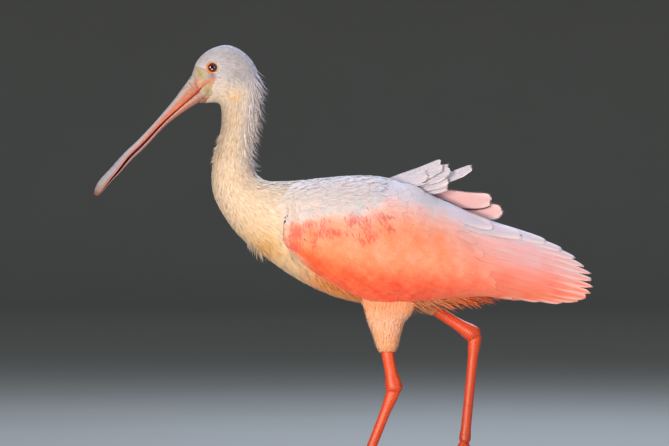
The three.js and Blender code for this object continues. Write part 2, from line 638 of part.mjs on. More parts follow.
// Raised scapulars: they turn their faces up and to the bird's left.
const SCAPULARS = [
  { from: [30, -3, 329], to: [88, -9, 341], width: 13 },
  { from: [34, -1, 329], to: [106, -7, 351], width: 15 },
  { from: [38, 1, 329], to: [114, -3, 345], width: 16 },
  { from: [42, 3, 329], to: [114, 1, 337], width: 15 },
  { from: [52, 4, 328], to: [112, 4, 330], width: 12 },
  { from: [66, 3, 327.5], to: [138, 8, 346.5], width: 9 },
];
const SCAPULAR_ASIDE = [0, 0.66, 0.75];
function saddle(grow = 0) {
  const middle = [[-40, 0, 329], [0, 0, 332], [40, 0, 330.5], [75, 0, 323], [104, 0, 309]];
  const depth = [[0, 2], [0.3, 5], [0.75, 5], [1, 2]];
  const width = [[0, 10], [0.25, 15], [0.5, 13], [0.75, 10], [1, 4]];
  return limb(middle, depth, width, { around: 14, rows: 8, grow });
}

function mantle(grow = 0) {
  const thick = VANE + 2 * grow;
  const feathers = SCAPULARS.map(({ from, to, width }) =>
    freeVane(from, to, SCAPULAR_ASIDE, width + 2 * grow, { droop: -3.5, thick })
  );
  return joined([saddle(grow), ...feathers]);
}

// Nape
let seed = 7;
function draw() {
  seed = (seed * 16807) % 2147483647;
  return seed / 2147483647;
}

// Shaggy locks down the nape, from one rib to another, in staggered rows.
function napeLocks(from, to, rows, spread) {
  const locks = [];
  for (let row = 0; row < rows; row++) {
    const rib = from + ((to - from) * (row + 0.5)) / rows;
    const count = 4 + (row % 2);
    for (let i = 0; i < count; i++) {
      const angle = ((i - (count - 1) / 2) / (count - 1)) * 2 * spread;
      const length = 15 + 7 * draw();
      locks.push(lock(rib, angle, length, 4.4, 4.5 + 4.5 * draw()));
    }
  }
  return locks;
}

// The bird
const head = joined([headSolid(), ...napeLocks(6.2, 7.9, 3, 0.8)]);
const neckRest = stretchOf(HEAD_END, SPANS, 30, { trim: -CUT, grow: GAP });
node("head", COLOURS.cream, head.subtract(neckRest));
for (const [name, side] of [["left", LEFT], ["right", RIGHT]]) {
  node(`eye_${name}`, COLOURS.eye, ball(eyePoint(side), EYE.radius), 0.15);
}

const headGrown = stretchOf(0, HEAD_END, 17, { trim: -CUT, grow: GAP });
const upper = mandible(1).subtract(nostril(LEFT)).subtract(nostril(RIGHT));
node("bill_upper", COLOURS.bill, upper.subtract(headGrown), 0.45);
node("bill_lower", COLOURS.bill, mandible(-1).subtract(headGrown), 0.45);

const neckUpper = joined([stretchOf(HEAD_END, NECK_MIDDLE, 8), ...napeLocks(8.9, 10.9, 4, 0.75)]);
const belowUpper = stretchOf(NECK_MIDDLE, SPANS, 30, { trim: -CUT, grow: GAP });
node("neck_upper", COLOURS.cream, neckUpper.subtract(belowUpper));
node("neck_lower", COLOURS.cream, stretchOf(NECK_MIDDLE, NECK_END, 6));
node("torso", COLOURS.cream, stretchOf(NECK_END, SPANS, 18));

const nearPaths = Object.fromEntries(Object.entries(NEAR_TOES).map(([key, t]) => [key, nearToePath(t)]));
const farPaths = Object.fromEntries(Object.entries(FAR_TOES).map(([key, t]) => [key, farToePath(t)]));
farPaths.hind = farHindPath;
const nearThigh = buildLeg("left", NEAR, nearPaths, 0.85);
const farThigh = buildLeg("right", FAR, farPaths, 0.8);

node("wing_left", COLOURS.pink, wingSolid(LEFT, nearThigh));
node("wing_right", COLOURS.pink, wingSolid(RIGHT, farThigh));
node("mantle", COLOURS.shell, mantle().subtract(fleshGrown));
node("tail", COLOURS.pink, tailSolid());

export default root;
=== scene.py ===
# Roseate spoonbill, a young bird wading in mid stride: plumage, skin, bill, eyes and legs over its solids.
# Shapes are worked out in millimetres and become metres when their mesh is made.
import math

import bmesh
import bpy
import numpy as np
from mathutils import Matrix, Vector


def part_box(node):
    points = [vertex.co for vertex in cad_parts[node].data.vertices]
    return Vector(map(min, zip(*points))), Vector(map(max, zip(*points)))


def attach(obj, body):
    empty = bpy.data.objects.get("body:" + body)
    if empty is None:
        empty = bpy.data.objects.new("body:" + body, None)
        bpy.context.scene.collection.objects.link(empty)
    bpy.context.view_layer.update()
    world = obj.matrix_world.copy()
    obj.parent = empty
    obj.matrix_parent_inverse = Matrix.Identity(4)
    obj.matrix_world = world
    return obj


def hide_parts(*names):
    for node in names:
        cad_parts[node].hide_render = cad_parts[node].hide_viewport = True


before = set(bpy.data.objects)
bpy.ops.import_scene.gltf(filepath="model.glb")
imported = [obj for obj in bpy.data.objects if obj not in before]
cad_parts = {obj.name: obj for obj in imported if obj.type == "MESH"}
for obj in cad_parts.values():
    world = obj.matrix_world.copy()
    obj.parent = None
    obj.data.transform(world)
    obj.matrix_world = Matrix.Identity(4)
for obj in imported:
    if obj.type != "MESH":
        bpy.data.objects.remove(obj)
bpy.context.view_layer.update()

MM = 0.001
PIXEL = 1.05  # millimetres in the plane of the bird to a pixel of the photograph
AXIS_PIXEL, FLOOR_PIXEL = 342.5, 498.5  # where the origin lies in the photograph
FRAME_WIDE, FRAME_HIGH = 669, 446
LEFT = -1
RIGHT = 1
SIDES = (("left", LEFT), ("right", RIGHT))
TURN = 2 * math.pi


# Number helpers
def smooth(x, low, high):
    """0 below low, 1 above high, and an eased climb between them."""
    t = np.clip((x - low) / (high - low), 0, 1)
    return t * t * (3 - 2 * t)


def between(a, b, share):
    return a + (b - a) * share


def unit(vectors):
    return vectors / np.maximum(np.linalg.norm(vectors, axis=-1, keepdims=True), 1e-9)


def bump(distance, reach):
    """1 at no distance, falling softly to nearly 0 at twice the reach."""
    return np.exp(-((distance / reach) ** 2))


def ripple(place, size, seed):
    """Smooth noise between about -1 and 1 over points, with lumps of about that size in millimetres."""
    waves = 8
    rng = np.random.default_rng(seed)
    pull = unit(rng.normal(size=(waves, 3))) * (TURN / size) * rng.uniform(0.6, 1.6, (waves, 1))
    return np.clip(np.sin(place @ pull.T + rng.uniform(0, TURN, waves)).mean(axis=-1) * 2, -1, 1)


def curve(points):
    """A smooth line through points, read at shares from 0 to 1 of its spans."""
    knots = np.array(points, float)
    knots = np.vstack([2 * knots[0] - knots[1], knots, 2 * knots[-1] - knots[-2]])
    gaps = np.sqrt(np.linalg.norm(np.diff(knots, axis=0), axis=1))
    spans = len(points) - 1

    def read(share):
        s = np.clip(np.asarray(share, float), 0, 1) * spans
        i = np.minimum(s.astype(int), spans - 1)
        t = (s - i)[..., None]
        p0, p1, p2, p3 = (knots[i + k] for k in range(4))
        g0, g1, g2 = (gaps[i + k][..., None] for k in range(3))
        leave = ((p1 - p0) / g0 - (p2 - p0) / (g0 + g1) + (p2 - p1) / g1) * g1
        reach = ((p2 - p1) / g1 - (p3 - p1) / (g1 + g2) + (p3 - p2) / g2) * g1
        square = 3 * (p2 - p1) - 2 * leave - reach
        return p1 + leave * t + square * t**2 + (2 * (p1 - p2) + leave + reach) * t**3

    return read


def evened(line):
    """The same line, read by its length."""
    share = np.linspace(0, 1, 241)
    run = np.cumsum(np.linalg.norm(np.diff(line(share), axis=0), axis=1))
    run = np.concatenate([[0], run]) / run[-1]
    return lambda part: line(np.interp(part, run, share))


def graph(pairs):
    """A smooth reading of (place, value) pairs, level outside them."""
    at, value = np.array(pairs, float).T
    before = np.maximum(np.arange(len(at)) - 1, 0)
    after = np.minimum(np.arange(len(at)) + 1, len(at) - 1)
    slope = (value[after] - value[before]) / (at[after] - at[before])

    def read(x):
        i = np.clip(np.searchsorted(at, x, side="right") - 1, 0, len(at) - 2)
        wide = at[i + 1] - at[i]
        t = np.clip((x - at[i]) / wide, 0, 1)
        lean = t * (1 - t) * wide * ((1 - t) * slope[i] - t * slope[i + 1])
        return value[i] + (value[i + 1] - value[i]) * t * t * (3 - 2 * t) + lean

    return read


# Body, from the face to the vent: the point under the throat or belly, the point on the back, half the width
RIBS = [
    ((-151, 414.8), (-159.5, 444), 10.2),
    ((-144.6, 415), (-154.4, 457.3), 13.1),
    ((-138.1, 415.5), (-145.7, 467.2), 16.3),
    ((-132.1, 415.3), (-133.7, 473.6), 17.6),
    ((-129.1, 413.7), (-120.7, 475.7), 18.4),
    ((-127.8, 411.1), (-107.6, 470.9), 18.5),
    ((-127.1, 407.4), (-95.7, 460.4), 18.9),
    ((-126.9, 402.7), (-88.3, 445.7), 19.7),
    ((-126.9, 396.4), (-85.8, 426.8), 20.3),
    ((-127.6, 388), (-87.6, 405.8), 20.5),
    ((-130.2, 376.4), (-90.6, 384.8), 20.3),
    ((-134.4, 362.8), (-94, 365.9), 20.5),
    ((-137, 348.1), (-94.5, 352.3), 21.5),
    ((-137.6, 333.4), (-90.8, 341.8), 24.2),
    ((-134.9, 316.6), (-81.4, 334.4), 29.4),
    ((-124.4, 296.6), (-64.6, 332.9), 35.5),
    ((-107.6, 274.6), (-42.5, 334.4), 41),
    ((-80.3, 252.5), (-13.1, 336), 46),
    ((-44.6, 228.4), (18.4, 336), 48.5),
    ((-7.9, 211.6), (47.8, 333.4), 48.5),
    ((31, 203.2), (73, 326), 45.5),
    ((70.9, 200.6), (96.1, 315.5), 40),
    ((105.5, 202.1), (119.2, 302.9), 33),
    ((134.9, 205.3), (141.2, 288.2), 25),
    ((158, 212.1), (159.1, 273.5), 18.5),
    ((174.8, 222.1), (172.7, 260.9), 13.7),
]
SPANS = len(RIBS) - 1
belly_line = curve([(belly[0], half, belly[1]) for belly, back, half in RIBS])
back_line = curve([(back[0], half, back[1]) for belly, back, half in RIBS])
PINCH = 0.14  # how much the upper flanks narrow under the folded wings
HEAD_TURN = math.radians(15)  # the bill swings towards the bird's left
NECK_AXIS_X = -107  # the head turns about this upright line
HEAD_WHOLE = 6  # ribs before this one turn with the head
NECK_STILL = 10  # ribs from this one on don't turn


def turned(place, share=1.0):
    """Swings points about the neck's upright line, fully or by a share."""
    angle = HEAD_TURN * share
    x = place[..., 0] - NECK_AXIS_X
    y = place[..., 1]
    swung = [NECK_AXIS_X + x * np.cos(angle) - y * np.sin(angle), x * np.sin(angle) + y * np.cos(angle)]
    return np.stack([*swung, place[..., 2]], axis=-1)


def straight_body(rib, angle, grow=0.0, ring=1.0):
    """A point of the flesh before the head turns: angle 0 is on the back, grow adds to the radius."""
    share = np.clip(rib / SPANS, 0, 1)
    belly = belly_line(share)
    back = back_line(share)
    middle = (belly + back) / 2
    reach = (back - belly) / 2
    size = np.hypot(reach[..., 0], reach[..., 2])
    part = np.cos(angle) * ring * (size + grow) / size
    pinch = 1 - PINCH * np.maximum(np.cos(angle), 0) * smooth(rib, 14.5, 17)
    aside = np.sin(angle) * ring * (belly[..., 1] * pinch + grow)
    x, z = (middle[..., k] + reach[..., k] * part for k in (0, 2))
    return np.stack([x, aside, z], axis=-1)


def body(rib, angle):
    return turned(straight_body(rib, angle), 1 - smooth(rib, HEAD_WHOLE, NECK_STILL))


class Surface:
    """A shape read at two coordinates: its points, its outward normals, and the reach of each coordinate."""

    def __init__(self, place, step, facing, unwrap, straight=None):
        self.place = place
        self.step = step
        self.facing = facing
        self.unwrap = unwrap
        self.straight = straight or place

    def slopes(self, u, v):
        du, dv = self.step
        along = (self.place(u + du, v) - self.place(u - du, v)) / (2 * du)
        across = (self.place(u, v + dv) - self.place(u, v - dv)) / (2 * dv)
        return along, across

    def normal(self, u, v):
        along, across = self.slopes(u, v)
        return unit(np.cross(along, across)) * self.facing

    def reach(self, u, v):
        along, across = self.slopes(u, v)
        return np.linalg.norm(along, axis=-1), np.linalg.norm(across, axis=-1)


BODY = Surface(
    body,
    (0.04, 0.03),
    1,
    lambda u, v: (0.02 + 0.96 * u / SPANS, 0.02 + 0.96 * (v % TURN) / TURN),
    straight_body,
)

# Folded wing: its outer face hangs between three lines, its upper edge, its widest line and its lower edge
WING_LINES = [
    ((-59.3, 46, 286.1), (-59.8, 48, 284), (-59.3, 47, 279.8)),
    ((-56.2, 46, 305), (-60.5, 51, 279.8), (-57, 46, 265)),
    ((-42.5, 39, 319), (-48, 56, 276.7), (-42, 44.5, 249)),
    ((-13.1, 29, 329.5), (-18.4, 61, 273.5), (-13.1, 41.5, 230)),
    ((26.8, 19, 333.5), (23.6, 62.5, 268.3), (24.7, 34, 213)),
    ((65.6, 15, 327), (63.5, 60, 264.1), (63.5, 30, 210)),
    ((104.5, 11, 311.5), (102.4, 52.5, 255.7), (102.4, 28, 210)),
    ((144.4, 8, 293.5), (144.4, 43, 246.2), (144.4, 27, 212)),
    ((184.3, 6, 280.9), (186.4, 33, 239.9), (186.4, 25, 208.5)),
    ((224.2, 4, 268.3), (224.2, 25.5, 234.7), (224.2, 22, 204.5)),
    ((262, 2.5, 252), (262, 20.5, 228), (262, 19, 204.5)),
]
wing_edges = [curve([line[k] for line in WING_LINES]) for k in range(3)]


def wing_face(side):
    """The outer face of one wing: u runs from the shoulder to the tip and v from the upper edge down."""

    def place(u, v):
        top, middle, low = (edge(u) for edge in wing_edges)
        v = np.asarray(v, float)[..., None]
        at = top * (1 - v) * (1 - 2 * v) + middle * 4 * v * (1 - v) + low * v * (2 * v - 1)
        return at * np.array([1, side, 1])

    return place


WINGS = {
    side: Surface(wing_face(side), (0.006, 0.01), side, lambda u, v: (0.02 + 0.94 * u, 0.06 + 0.88 * v))
    for side in (LEFT, RIGHT)
}


# Limbs
def limb(points, depth, width):
    """A tapered limb along a path: along runs from 0 to 1 and angle 0 is its front."""
    path = evened(curve(points))
    deep = graph(depth)
    wide = graph(width)

    def place(along, angle, grow=0.0, ring=1.0):
        step = 0.004
        at = path(along)
        ahead = unit(path(np.minimum(along + step, 1)) - path(np.maximum(along - step, 0)))
        aside = unit(np.array([0, 1, 0]) - ahead * ahead[..., 1:2])
        front = np.cross(aside, ahead)
        lift = (np.cos(angle) * ring * (deep(along) + grow))[..., None]
        out = (np.sin(angle) * ring * (wide(along) + grow))[..., None]
        return at + front * lift + aside * out

    return place


def limb_surface(place):
    return Surface(place, (0.008, 0.04), -1, lambda u, v: (0.02 + 0.96 * u, 0.02 + 0.96 * (v % TURN) / TURN))


def ribbon(start, end, aside, droop=0.0, tilt=0.0, home=0.5):
    """A free feather's own surface: u from 0 to 1 along it, v in millimetres to its side.
    home is where its strip of the unwrap begins."""
    start, end = np.array(start, float), np.array(end, float)
    side = unit(np.array(aside, float))
    up = unit(np.cross(end - start, side))
    facing = 1 if up[2] > 0 else -1
    up = up * facing

    def place(u, v):
        u = np.asarray(u, float)[..., None]
        v = np.asarray(v, float)[..., None]
        lift = v * tilt + droop * np.sin(np.clip(u, 0, 1) * math.pi)
        return start + (end - start) * u + side * v + up * lift

    return Surface(place, (0.01, 0.5), facing, lambda u, v: (home + 0.04 * u, 0.5 + 0.003 * v))


# Nodes and materials
def linear(colour):
    """An sRGB hex colour as linear red, green, blue and alpha."""
    parts = [int(colour[i : i + 2], 16) / 255 for i in (1, 3, 5)]
    return [c / 12.92 if c <= 0.04045 else ((c + 0.055) / 1.055) ** 2.4 for c in parts] + [1.0]


def feed(tree, node, inputs):
    """Sets inputs from values, hex colours, sockets, or nodes, which give their first output in use."""
    for key, value in inputs.items():
        if isinstance(value, bpy.types.Node):
            value = next(socket for socket in value.outputs if socket.enabled)
        if isinstance(value, bpy.types.NodeSocket):
            tree.links.new(value, node.inputs[key])
        else:
            node.inputs[key].default_value = linear(value) if isinstance(value, str) else value


def add(tree, kind, inputs=None, stops=None, **settings):
    """Adds a node with its settings and inputs, and a ramp's stops as (place, hex) pairs."""
    node = tree.nodes.new("ShaderNode" + kind)
    for key, value in settings.items():
        setattr(node, key, value)
    feed(tree, node, inputs or {})
    if stops:
        ramp = node.color_ramp.elements
        while len(ramp) < len(stops):
            ramp.new(0.5)
        for element, (place, colour) in zip(ramp, stops):
            element.position = place
            element.color = linear(colour)
    return node


# A mix of two colours: its inputs, and its settings as a plain mix and as a product
SHARE, FIRST, SECOND = 0, 6, 7
BLEND = {"data_type": "RGBA"}
DARKEN = {"data_type": "RGBA", "blend_type": "MULTIPLY"}
NOISE_SPAN = {"From Min": 0.3, "From Max": 0.7}  # the values that a noise mostly takes


def new_material(name):
    """An empty material with its principled shader and output."""
    material = bpy.data.materials.new(name)
    material.use_nodes = True
    tree = material.node_tree
    tree.nodes.clear()
    shader = add(tree, "BsdfPrincipled")
    add(tree, "OutputMaterial", {"Surface": shader})
    return material, tree, shader


def plumage(name, barb, relief, edge=0.0):
    """Contour feathers: matt keratin barbs hooked into vanes, dyed by carotenoids from white to salmon.
    They scatter light softly, with no gloss, and show fine lines along the barbs.
    barb is how many barb lines cross a vane, as the render can show, and edge how far its rim pales."""
    material, tree, shader = new_material(name)
    marks = add(tree, "Attribute", attribute_name="Markings")
    parts = add(tree, "SeparateColor", {"Color": marks})
    pink, gold, carmine = (parts.outputs[k] for k in ("Red", "Green", "Blue"))
    # The fourth marking is a cooler pink hue and, on upper parts, painted bluish sky light: it turns pale
    # feathers toward a painted lilac-blue and pink ones toward a cooler pink.
    rose_and_sky_tint = marks.outputs["Alpha"]
    stops = [(0, "#dcdadc"), (0.35, "#e4d6c6"), (0.7, "#eac896"), (1, "#d8993f")]
    cream = add(tree, "ValToRGB", {"Fac": gold}, stops)
    cream = add(tree, "Mix", {SHARE: rose_and_sky_tint, FIRST: cream, SECOND: "#c6cbe2"}, **BLEND)
    stops = [(0, "#ecd8cc"), (0.35, "#f2b499"), (0.65, "#f79166"), (0.9, "#ff6338"), (1, "#f04526")]
    salmon = add(tree, "ValToRGB", {"Fac": pink}, stops)
    stops = [(0, "#d6d2e6"), (0.35, "#e9bac3"), (0.65, "#f29890"), (0.9, "#ee7365"), (1, "#e0453e")]
    rosy_and_sky_ramp = add(tree, "ValToRGB", {"Fac": pink}, stops)
    dyed = add(tree, "Mix", {SHARE: rose_and_sky_tint, FIRST: salmon, SECOND: rosy_and_sky_ramp}, **BLEND)
    dyed = add(tree, "Mix", {SHARE: gold, FIRST: dyed, SECOND: "#ef9a4a"}, **BLEND)
    start = add(tree, "MapRange", {"Value": pink, "From Max": 0.22})
    colour = add(tree, "Mix", {SHARE: start, FIRST: cream, SECOND: dyed}, **BLEND)
    colour = add(tree, "Mix", {SHARE: carmine, FIRST: colour, SECOND: "#ea4f55"}, **BLEND)
    tone = add(tree, "Attribute", attribute_name="Tone").outputs["Fac"]
    shade = add(tree, "MapRange", {"Value": tone, "From Min": -2.0, "To Min": 0.6, "To Max": 1.06})
    colour = add(tree, "Mix", {SHARE: 1.0, FIRST: colour, SECOND: shade}, **DARKEN)
    place = add(tree, "SeparateXYZ", {"Vector": add(tree, "UVMap", uv_map="Vane")})
    along = place.outputs["Y"]
    across = add(tree, "Math", {0: place.outputs["X"], 1: 0.5}, operation="SUBTRACT")
    aside = add(tree, "Math", {0: across}, operation="ABSOLUTE")
    if edge:
        rim = add(tree, "Math", {0: aside, 1: 0.5, 2: along}, operation="MULTIPLY_ADD")
        reach = {"Value": rim, "From Min": 0.93, "From Max": 1.18, "To Max": edge}
        pale = add(tree, "MapRange", reach, interpolation_type="SMOOTHSTEP")
        colour = add(tree, "Mix", {SHARE: pale, FIRST: colour, SECOND: "#f3eaec"}, **BLEND)
    slant = add(tree, "Math", {0: aside, 1: -0.55, 2: along}, operation="MULTIPLY_ADD")
    lines = add(tree, "Math", {0: slant, 1: barb * TURN}, operation="MULTIPLY")
    wave = add(tree, "Math", {0: lines}, operation="SINE")
    coords = add(tree, "TexCoord").outputs["Object"]
    noise = add(tree, "TexNoise", {"Vector": coords, "Scale": 700.0, "Detail": 2.0})
    rough = add(tree, "Math", {0: wave, 1: noise}, operation="MULTIPLY")
    groove = add(tree, "MapRange", {"Value": rough, "From Min": -1.0, "To Min": 0.93, "To Max": 1.03})
    colour = add(tree, "Mix", {SHARE: 1.0, FIRST: colour, SECOND: groove}, **DARKEN)
    raised = add(tree, "Bump", {"Height": rough, "Strength": relief, "Distance": 0.0004})
    finish = {"Base Color": colour, "Normal": raised, "Roughness": 0.72, "Specular IOR Level": 0.25}
    feed(tree, shader, {**finish, "Sheen Weight": 0.2, "Sheen Roughness": 0.5})
    return material


def set_value(mesh, name, values):
    mesh.attributes.new(name, "FLOAT", "POINT").data.foreach_set("value", np.asarray(values, "f"))


def set_four(mesh, name, values):
    """Writes four values of each vertex as one colour attribute."""
    mesh.attributes.new(name, "FLOAT_COLOR", "POINT").data.foreach_set("color", values.astype("f").ravel())


def set_masks(mesh, name, masks):
    set_four(mesh, name, np.clip(np.stack(masks, axis=1), 0, 1))


def set_marks(mesh, marks, tone):
    """Writes the four markings of each vertex, and its tone."""
    set_four(mesh, "Markings", marks)
    set_value(mesh, "Tone", tone)


def mark_skin(mesh, marks, tone):
    """Markings for the skin under a coat, with one tone all over and an empty map of vanes."""
    set_marks(mesh, marks, np.full(len(marks), tone))
    mesh.uv_layers.new(name="Vane")


def show(name, mesh, materials, replaces=()):
    """Puts a finished mesh in the scene, riding on the body, and hides the solids that it stands for."""
    thing = bpy.data.objects.new(name, mesh)
    bpy.context.scene.collection.objects.link(thing)
    for material in materials:
        mesh.materials.append(material)
    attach(thing, "root")
    if replaces:
        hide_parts(*replaces)


def capped(along):
    """0 at both ends of a sheet, where its rings close to a point, and 1 between."""
    return np.where((along < 1e-6) | (along > 1 - 1e-6), 0.0, 1.0)


def sheet(long, wide, place, weld=2e-5):
    """A grid that place(along, across) lays out in millimetres, both read from 0 to 1.
    Its meeting edges are welded, and its UV map, Surface, keeps the grid."""
    bm = bmesh.new()
    bm.loops.layers.uv.new("Surface")
    bmesh.ops.create_grid(bm, x_segments=long, y_segments=wide, size=0.5, calc_uvs=True)
    flat = np.array([vert.co[:2] for vert in bm.verts]) + 0.5
    for vert, point in zip(bm.verts, place(flat[:, 0], flat[:, 1]) * MM):
        vert.co = point
    bmesh.ops.remove_doubles(bm, verts=bm.verts, dist=weld)
    bmesh.ops.recalc_face_normals(bm, faces=bm.faces)
    return bm


def finished(bm, name):
    """The mesh of a bmesh, with smooth faces."""
    mesh = bpy.data.meshes.new(name)
    for face in bm.faces:
        face.smooth = True
    bm.to_mesh(mesh)
    bm.free()
    return mesh


def points_of(mesh):
    """A mesh's vertices in millimetres."""
    found = np.zeros(len(mesh.vertices) * 3)
    mesh.vertices.foreach_get("co", found)
    return found.reshape(-1, 3) / MM


def grid_of(mesh):
    """Each vertex's place, 0 to 1, along and across the sheet that it was made on."""
    flat = np.zeros(len(mesh.loops) * 2)
    mesh.uv_layers["Surface"].data.foreach_get("uv", flat)
    corner = np.zeros(len(mesh.loops), "i")
    mesh.loops.foreach_get("vertex_index", corner)
    uv = np.zeros((len(mesh.vertices), 2))
    uv[corner] = flat.reshape(-1, 2)
    return uv


# Vanes
def swept(profile, rows):
    """A vane's plan: a closed section of (across, height) points repeated over rows of (along, fullness).
    The section runs over the top from left to right and back below; a last fullness of 0 ends in a point."""
    across, height = np.array(profile, float).T
    count = len(profile)
    pointed = rows[-1][1] == 0
    whole = rows[:-1] if pointed else rows
    along = np.repeat([t for t, _ in whole], count)
    aside = np.concatenate([across * full for _, full in whole])
    rise = np.tile(height, len(whole))
    faces = [(0, j, j + 1) for j in range(1, count - 1)]
    for k in range(len(whole) - 1):
        for j in range(count):
            a = k * count + j
            b = k * count + (j + 1) % count
            faces += [(a, a + count, b), (b, a + count, b + count)]
    last = (len(whole) - 1) * count
    if pointed:
        tip = len(along)
        along = np.append(along, rows[-1][0])
        aside = np.append(aside, 0)
        rise = np.append(rise, height.mean())
        faces += [(last + j, tip, last + (j + 1) % count) for j in range(count)]
    else:
        faces += [(last, last + j + 1, last + j) for j in range(1, count - 1)]
    return {"along": along, "aside": aside, "rise": rise, "faces": np.array(faces)}


ROOF = [(-1, 0), (0, 1), (1, 0)]
LANCE = swept(ROOF, [(0, 0.5), (0.35, 1), (0.75, 0.66), (1, 0)])
WISP = swept(ROOF, [(0, 0.7), (0.3, 1), (0.6, 0.75), (0.85, 0.4), (1, 0)])
ROUND = swept(ROOF, [(0, 0.45), (0.3, 0.9), (0.62, 1), (0.86, 0.72), (1, 0)])
ARCH = [(-1, 0), (-0.55, 0.7), (0, 1), (0.55, 0.7), (1, 0), (0, -0.2)]
COVERT = swept(ARCH, [(0, 0.4), (0.25, 0.8), (0.55, 1), (0.78, 0.94), (0.9, 0.72), (0.97, 0.42), (1, 0)])
SHAFTED = [(-1, 0), (-0.72, 0.35), (-0.4, 0.5), (-0.07, 0.6), (0, 1.5), (0.07, 0.6), (0.4, 0.5), (0.72, 0.35),
           (1, 0), (0.72, -0.35), (0.4, -0.45), (0, -0.6), (-0.4, -0.45), (-0.72, -0.35)]
full_vane = graph([(0, 0.3), (0.12, 0.62), (0.35, 0.95), (0.7, 1), (0.88, 0.98), (0.94, 0.9), (0.97, 0.76),
                   (0.988, 0.56), (1, 0.26)])
PEN_ROWS = [*np.linspace(0, 0.7, 10)[:-1], *np.linspace(0.7, 1, 15)]
PEN = swept(SHAFTED, [(t, float(full_vane(t))) for t in PEN_ROWS])


SMALL_CELL, PEN_CELL = 0.003, 0.04  # how much of the unwrap a small feather and a pen take


class Coat:
    """Many vanes laid on surfaces, from root to tip, and gathered into one mesh."""

    def __init__(self):
        self.parts = []
        self.count = 0

    def lay(self, surface, roots, tips, width, height, plan, rng, marks=None, by_root=True, tone=0.6,
            thick=0.35, rise=1.0, ragged=0.0, bend=0.0, notch=0.0, patch=None):
        """roots and tips are coordinates of the surface, and height is how high over it they stand.
        marks reads a vane's markings, at its root or all along it. tone is how much the vanes differ in
        shade, or each vane's own shade. thick, bend and notch are in millimetres: the ridge of a vane, how
        far its tip swings aside, and how deep its end is frayed."""
        n = len(roots)
        if n == 0:
            return
        t, s = plan["along"], plan["aside"]
        reach_u, reach_v = surface.reach(roots[:, 0], roots[:, 1])
        lead = (tips - roots) * np.stack([reach_u, reach_v], axis=1)
        length = np.linalg.norm(lead, axis=1)
        lead = lead / length[:, None]
        beside = np.stack([-lead[:, 1] / reach_u, lead[:, 0] / reach_v], axis=1)
        width = np.broadcast_to(width, n)
        low, high = (np.broadcast_to(h, n) for h in height)
        wobble = 1 + ragged * rng.uniform(-1, 1, (n, len(t)))
        side = s * wobble * width[:, None] / 2 + np.broadcast_to(bend, n)[:, None] * t**2
        phase = rng.uniform(0, TURN, (n, 2, 1))
        teeth = 0.45 * np.sin(4.5 * s + phase[:, 0]) + 0.3 * np.sin(11 * s + phase[:, 1]) - 0.45
        gone = t + notch * smooth(t, 0.8, 1) * teeth / length[:, None]
        coords = roots[:, None, :] + (tips - roots)[:, None, :] * gone[..., None]
        coords = coords + beside[:, None, :] * side[..., None]
        u, v = coords[..., 0], coords[..., 1]
        up = surface.normal(u, v)
        over = low[:, None] + (high - low)[:, None] * t**rise + plan["rise"] * thick
        points = surface.place(u, v) + up * over[..., None]
        mood = rng.uniform(-1, 1, n) * tone if np.ndim(tone) == 0 else tone
        read = marks or markings
        if by_root:
            drift = 0.16 * length[:, None] * rng.normal(size=(n, 3)) * np.array([1, 0.3, 1])
            spots = surface.straight(roots[:, 0], roots[:, 1]) + drift
            dye = np.repeat(read(spots)[:, None, :], len(t), axis=1)
        else:
            dye = read(points.reshape(-1, 3)).reshape(n, len(t), 4)
        home = np.stack(surface.unwrap(roots[:, 0], roots[:, 1]), axis=1) if patch is None else patch
        cell = SMALL_CELL if patch is None else PEN_CELL
        spot = home[:, None, :] + cell * np.stack([s / 2, t - 0.5], axis=1)
        vane = np.broadcast_to(np.stack([0.5 + s / 2, t], axis=1), (n, len(t), 2))
        faces = plan["faces"] if surface.facing > 0 else plan["faces"][:, ::-1]
        faces = faces[None] + (self.count + np.arange(n) * len(t))[:, None, None]
        self.count += n * len(t)
        tones = np.repeat(mood[:, None], len(t), axis=1)
        columns = (points, up, dye, spot, vane, tones[..., None], faces)
        self.parts.append([column.reshape(-1, column.shape[-1]) for column in columns])

    def lay_pen(self, surface, start, end, width, height, rng, patch, **settings):
        """One big feather, coloured along its length, with a place of its own in the unwrap."""
        ends = (np.array([place], float) for place in (start, end))
        self.lay(surface, *ends, width, height, PEN, rng, by_root=False, patch=np.array([patch]), **settings)

    def build(self, name, material, slot, replaces=(), soften=0.75):
        """soften is how far the vanes take the normals of the surface that they lie on."""
        points, up, dye, spot, vane, tones, faces = (np.concatenate(column) for column in zip(*self.parts))
        mesh = bpy.data.meshes.new(name)
        mesh.vertices.add(len(points))
        mesh.vertices.foreach_set("co", (points * MM).astype("f").ravel())
        mesh.loops.add(faces.size)
        mesh.loops.foreach_set("vertex_index", faces.astype("i").ravel())
        mesh.polygons.add(len(faces))
        mesh.polygons.foreach_set("loop_start", np.arange(0, faces.size, 3, dtype="i"))
        mesh.polygons.foreach_set("use_smooth", np.ones(len(faces), bool))
        mesh.update(calc_edges=True)
        for key, values in (("Vane", vane), ("OFBake", spot)):
            layer = mesh.uv_layers.new(name=key)
            layer.data.foreach_set("uv", values[faces.ravel()].astype("f").ravel())
        set_marks(mesh, dye, tones.ravel())
        own = np.zeros(len(points) * 3)
        mesh.vertices.foreach_get("normal", own)
        shared = unit(up * soften + own.reshape(-1, 3) * (1 - soften))
        mesh.normals_split_custom_set_from_vertices(shared.tolist())
        show(name, mesh, [material], replaces)


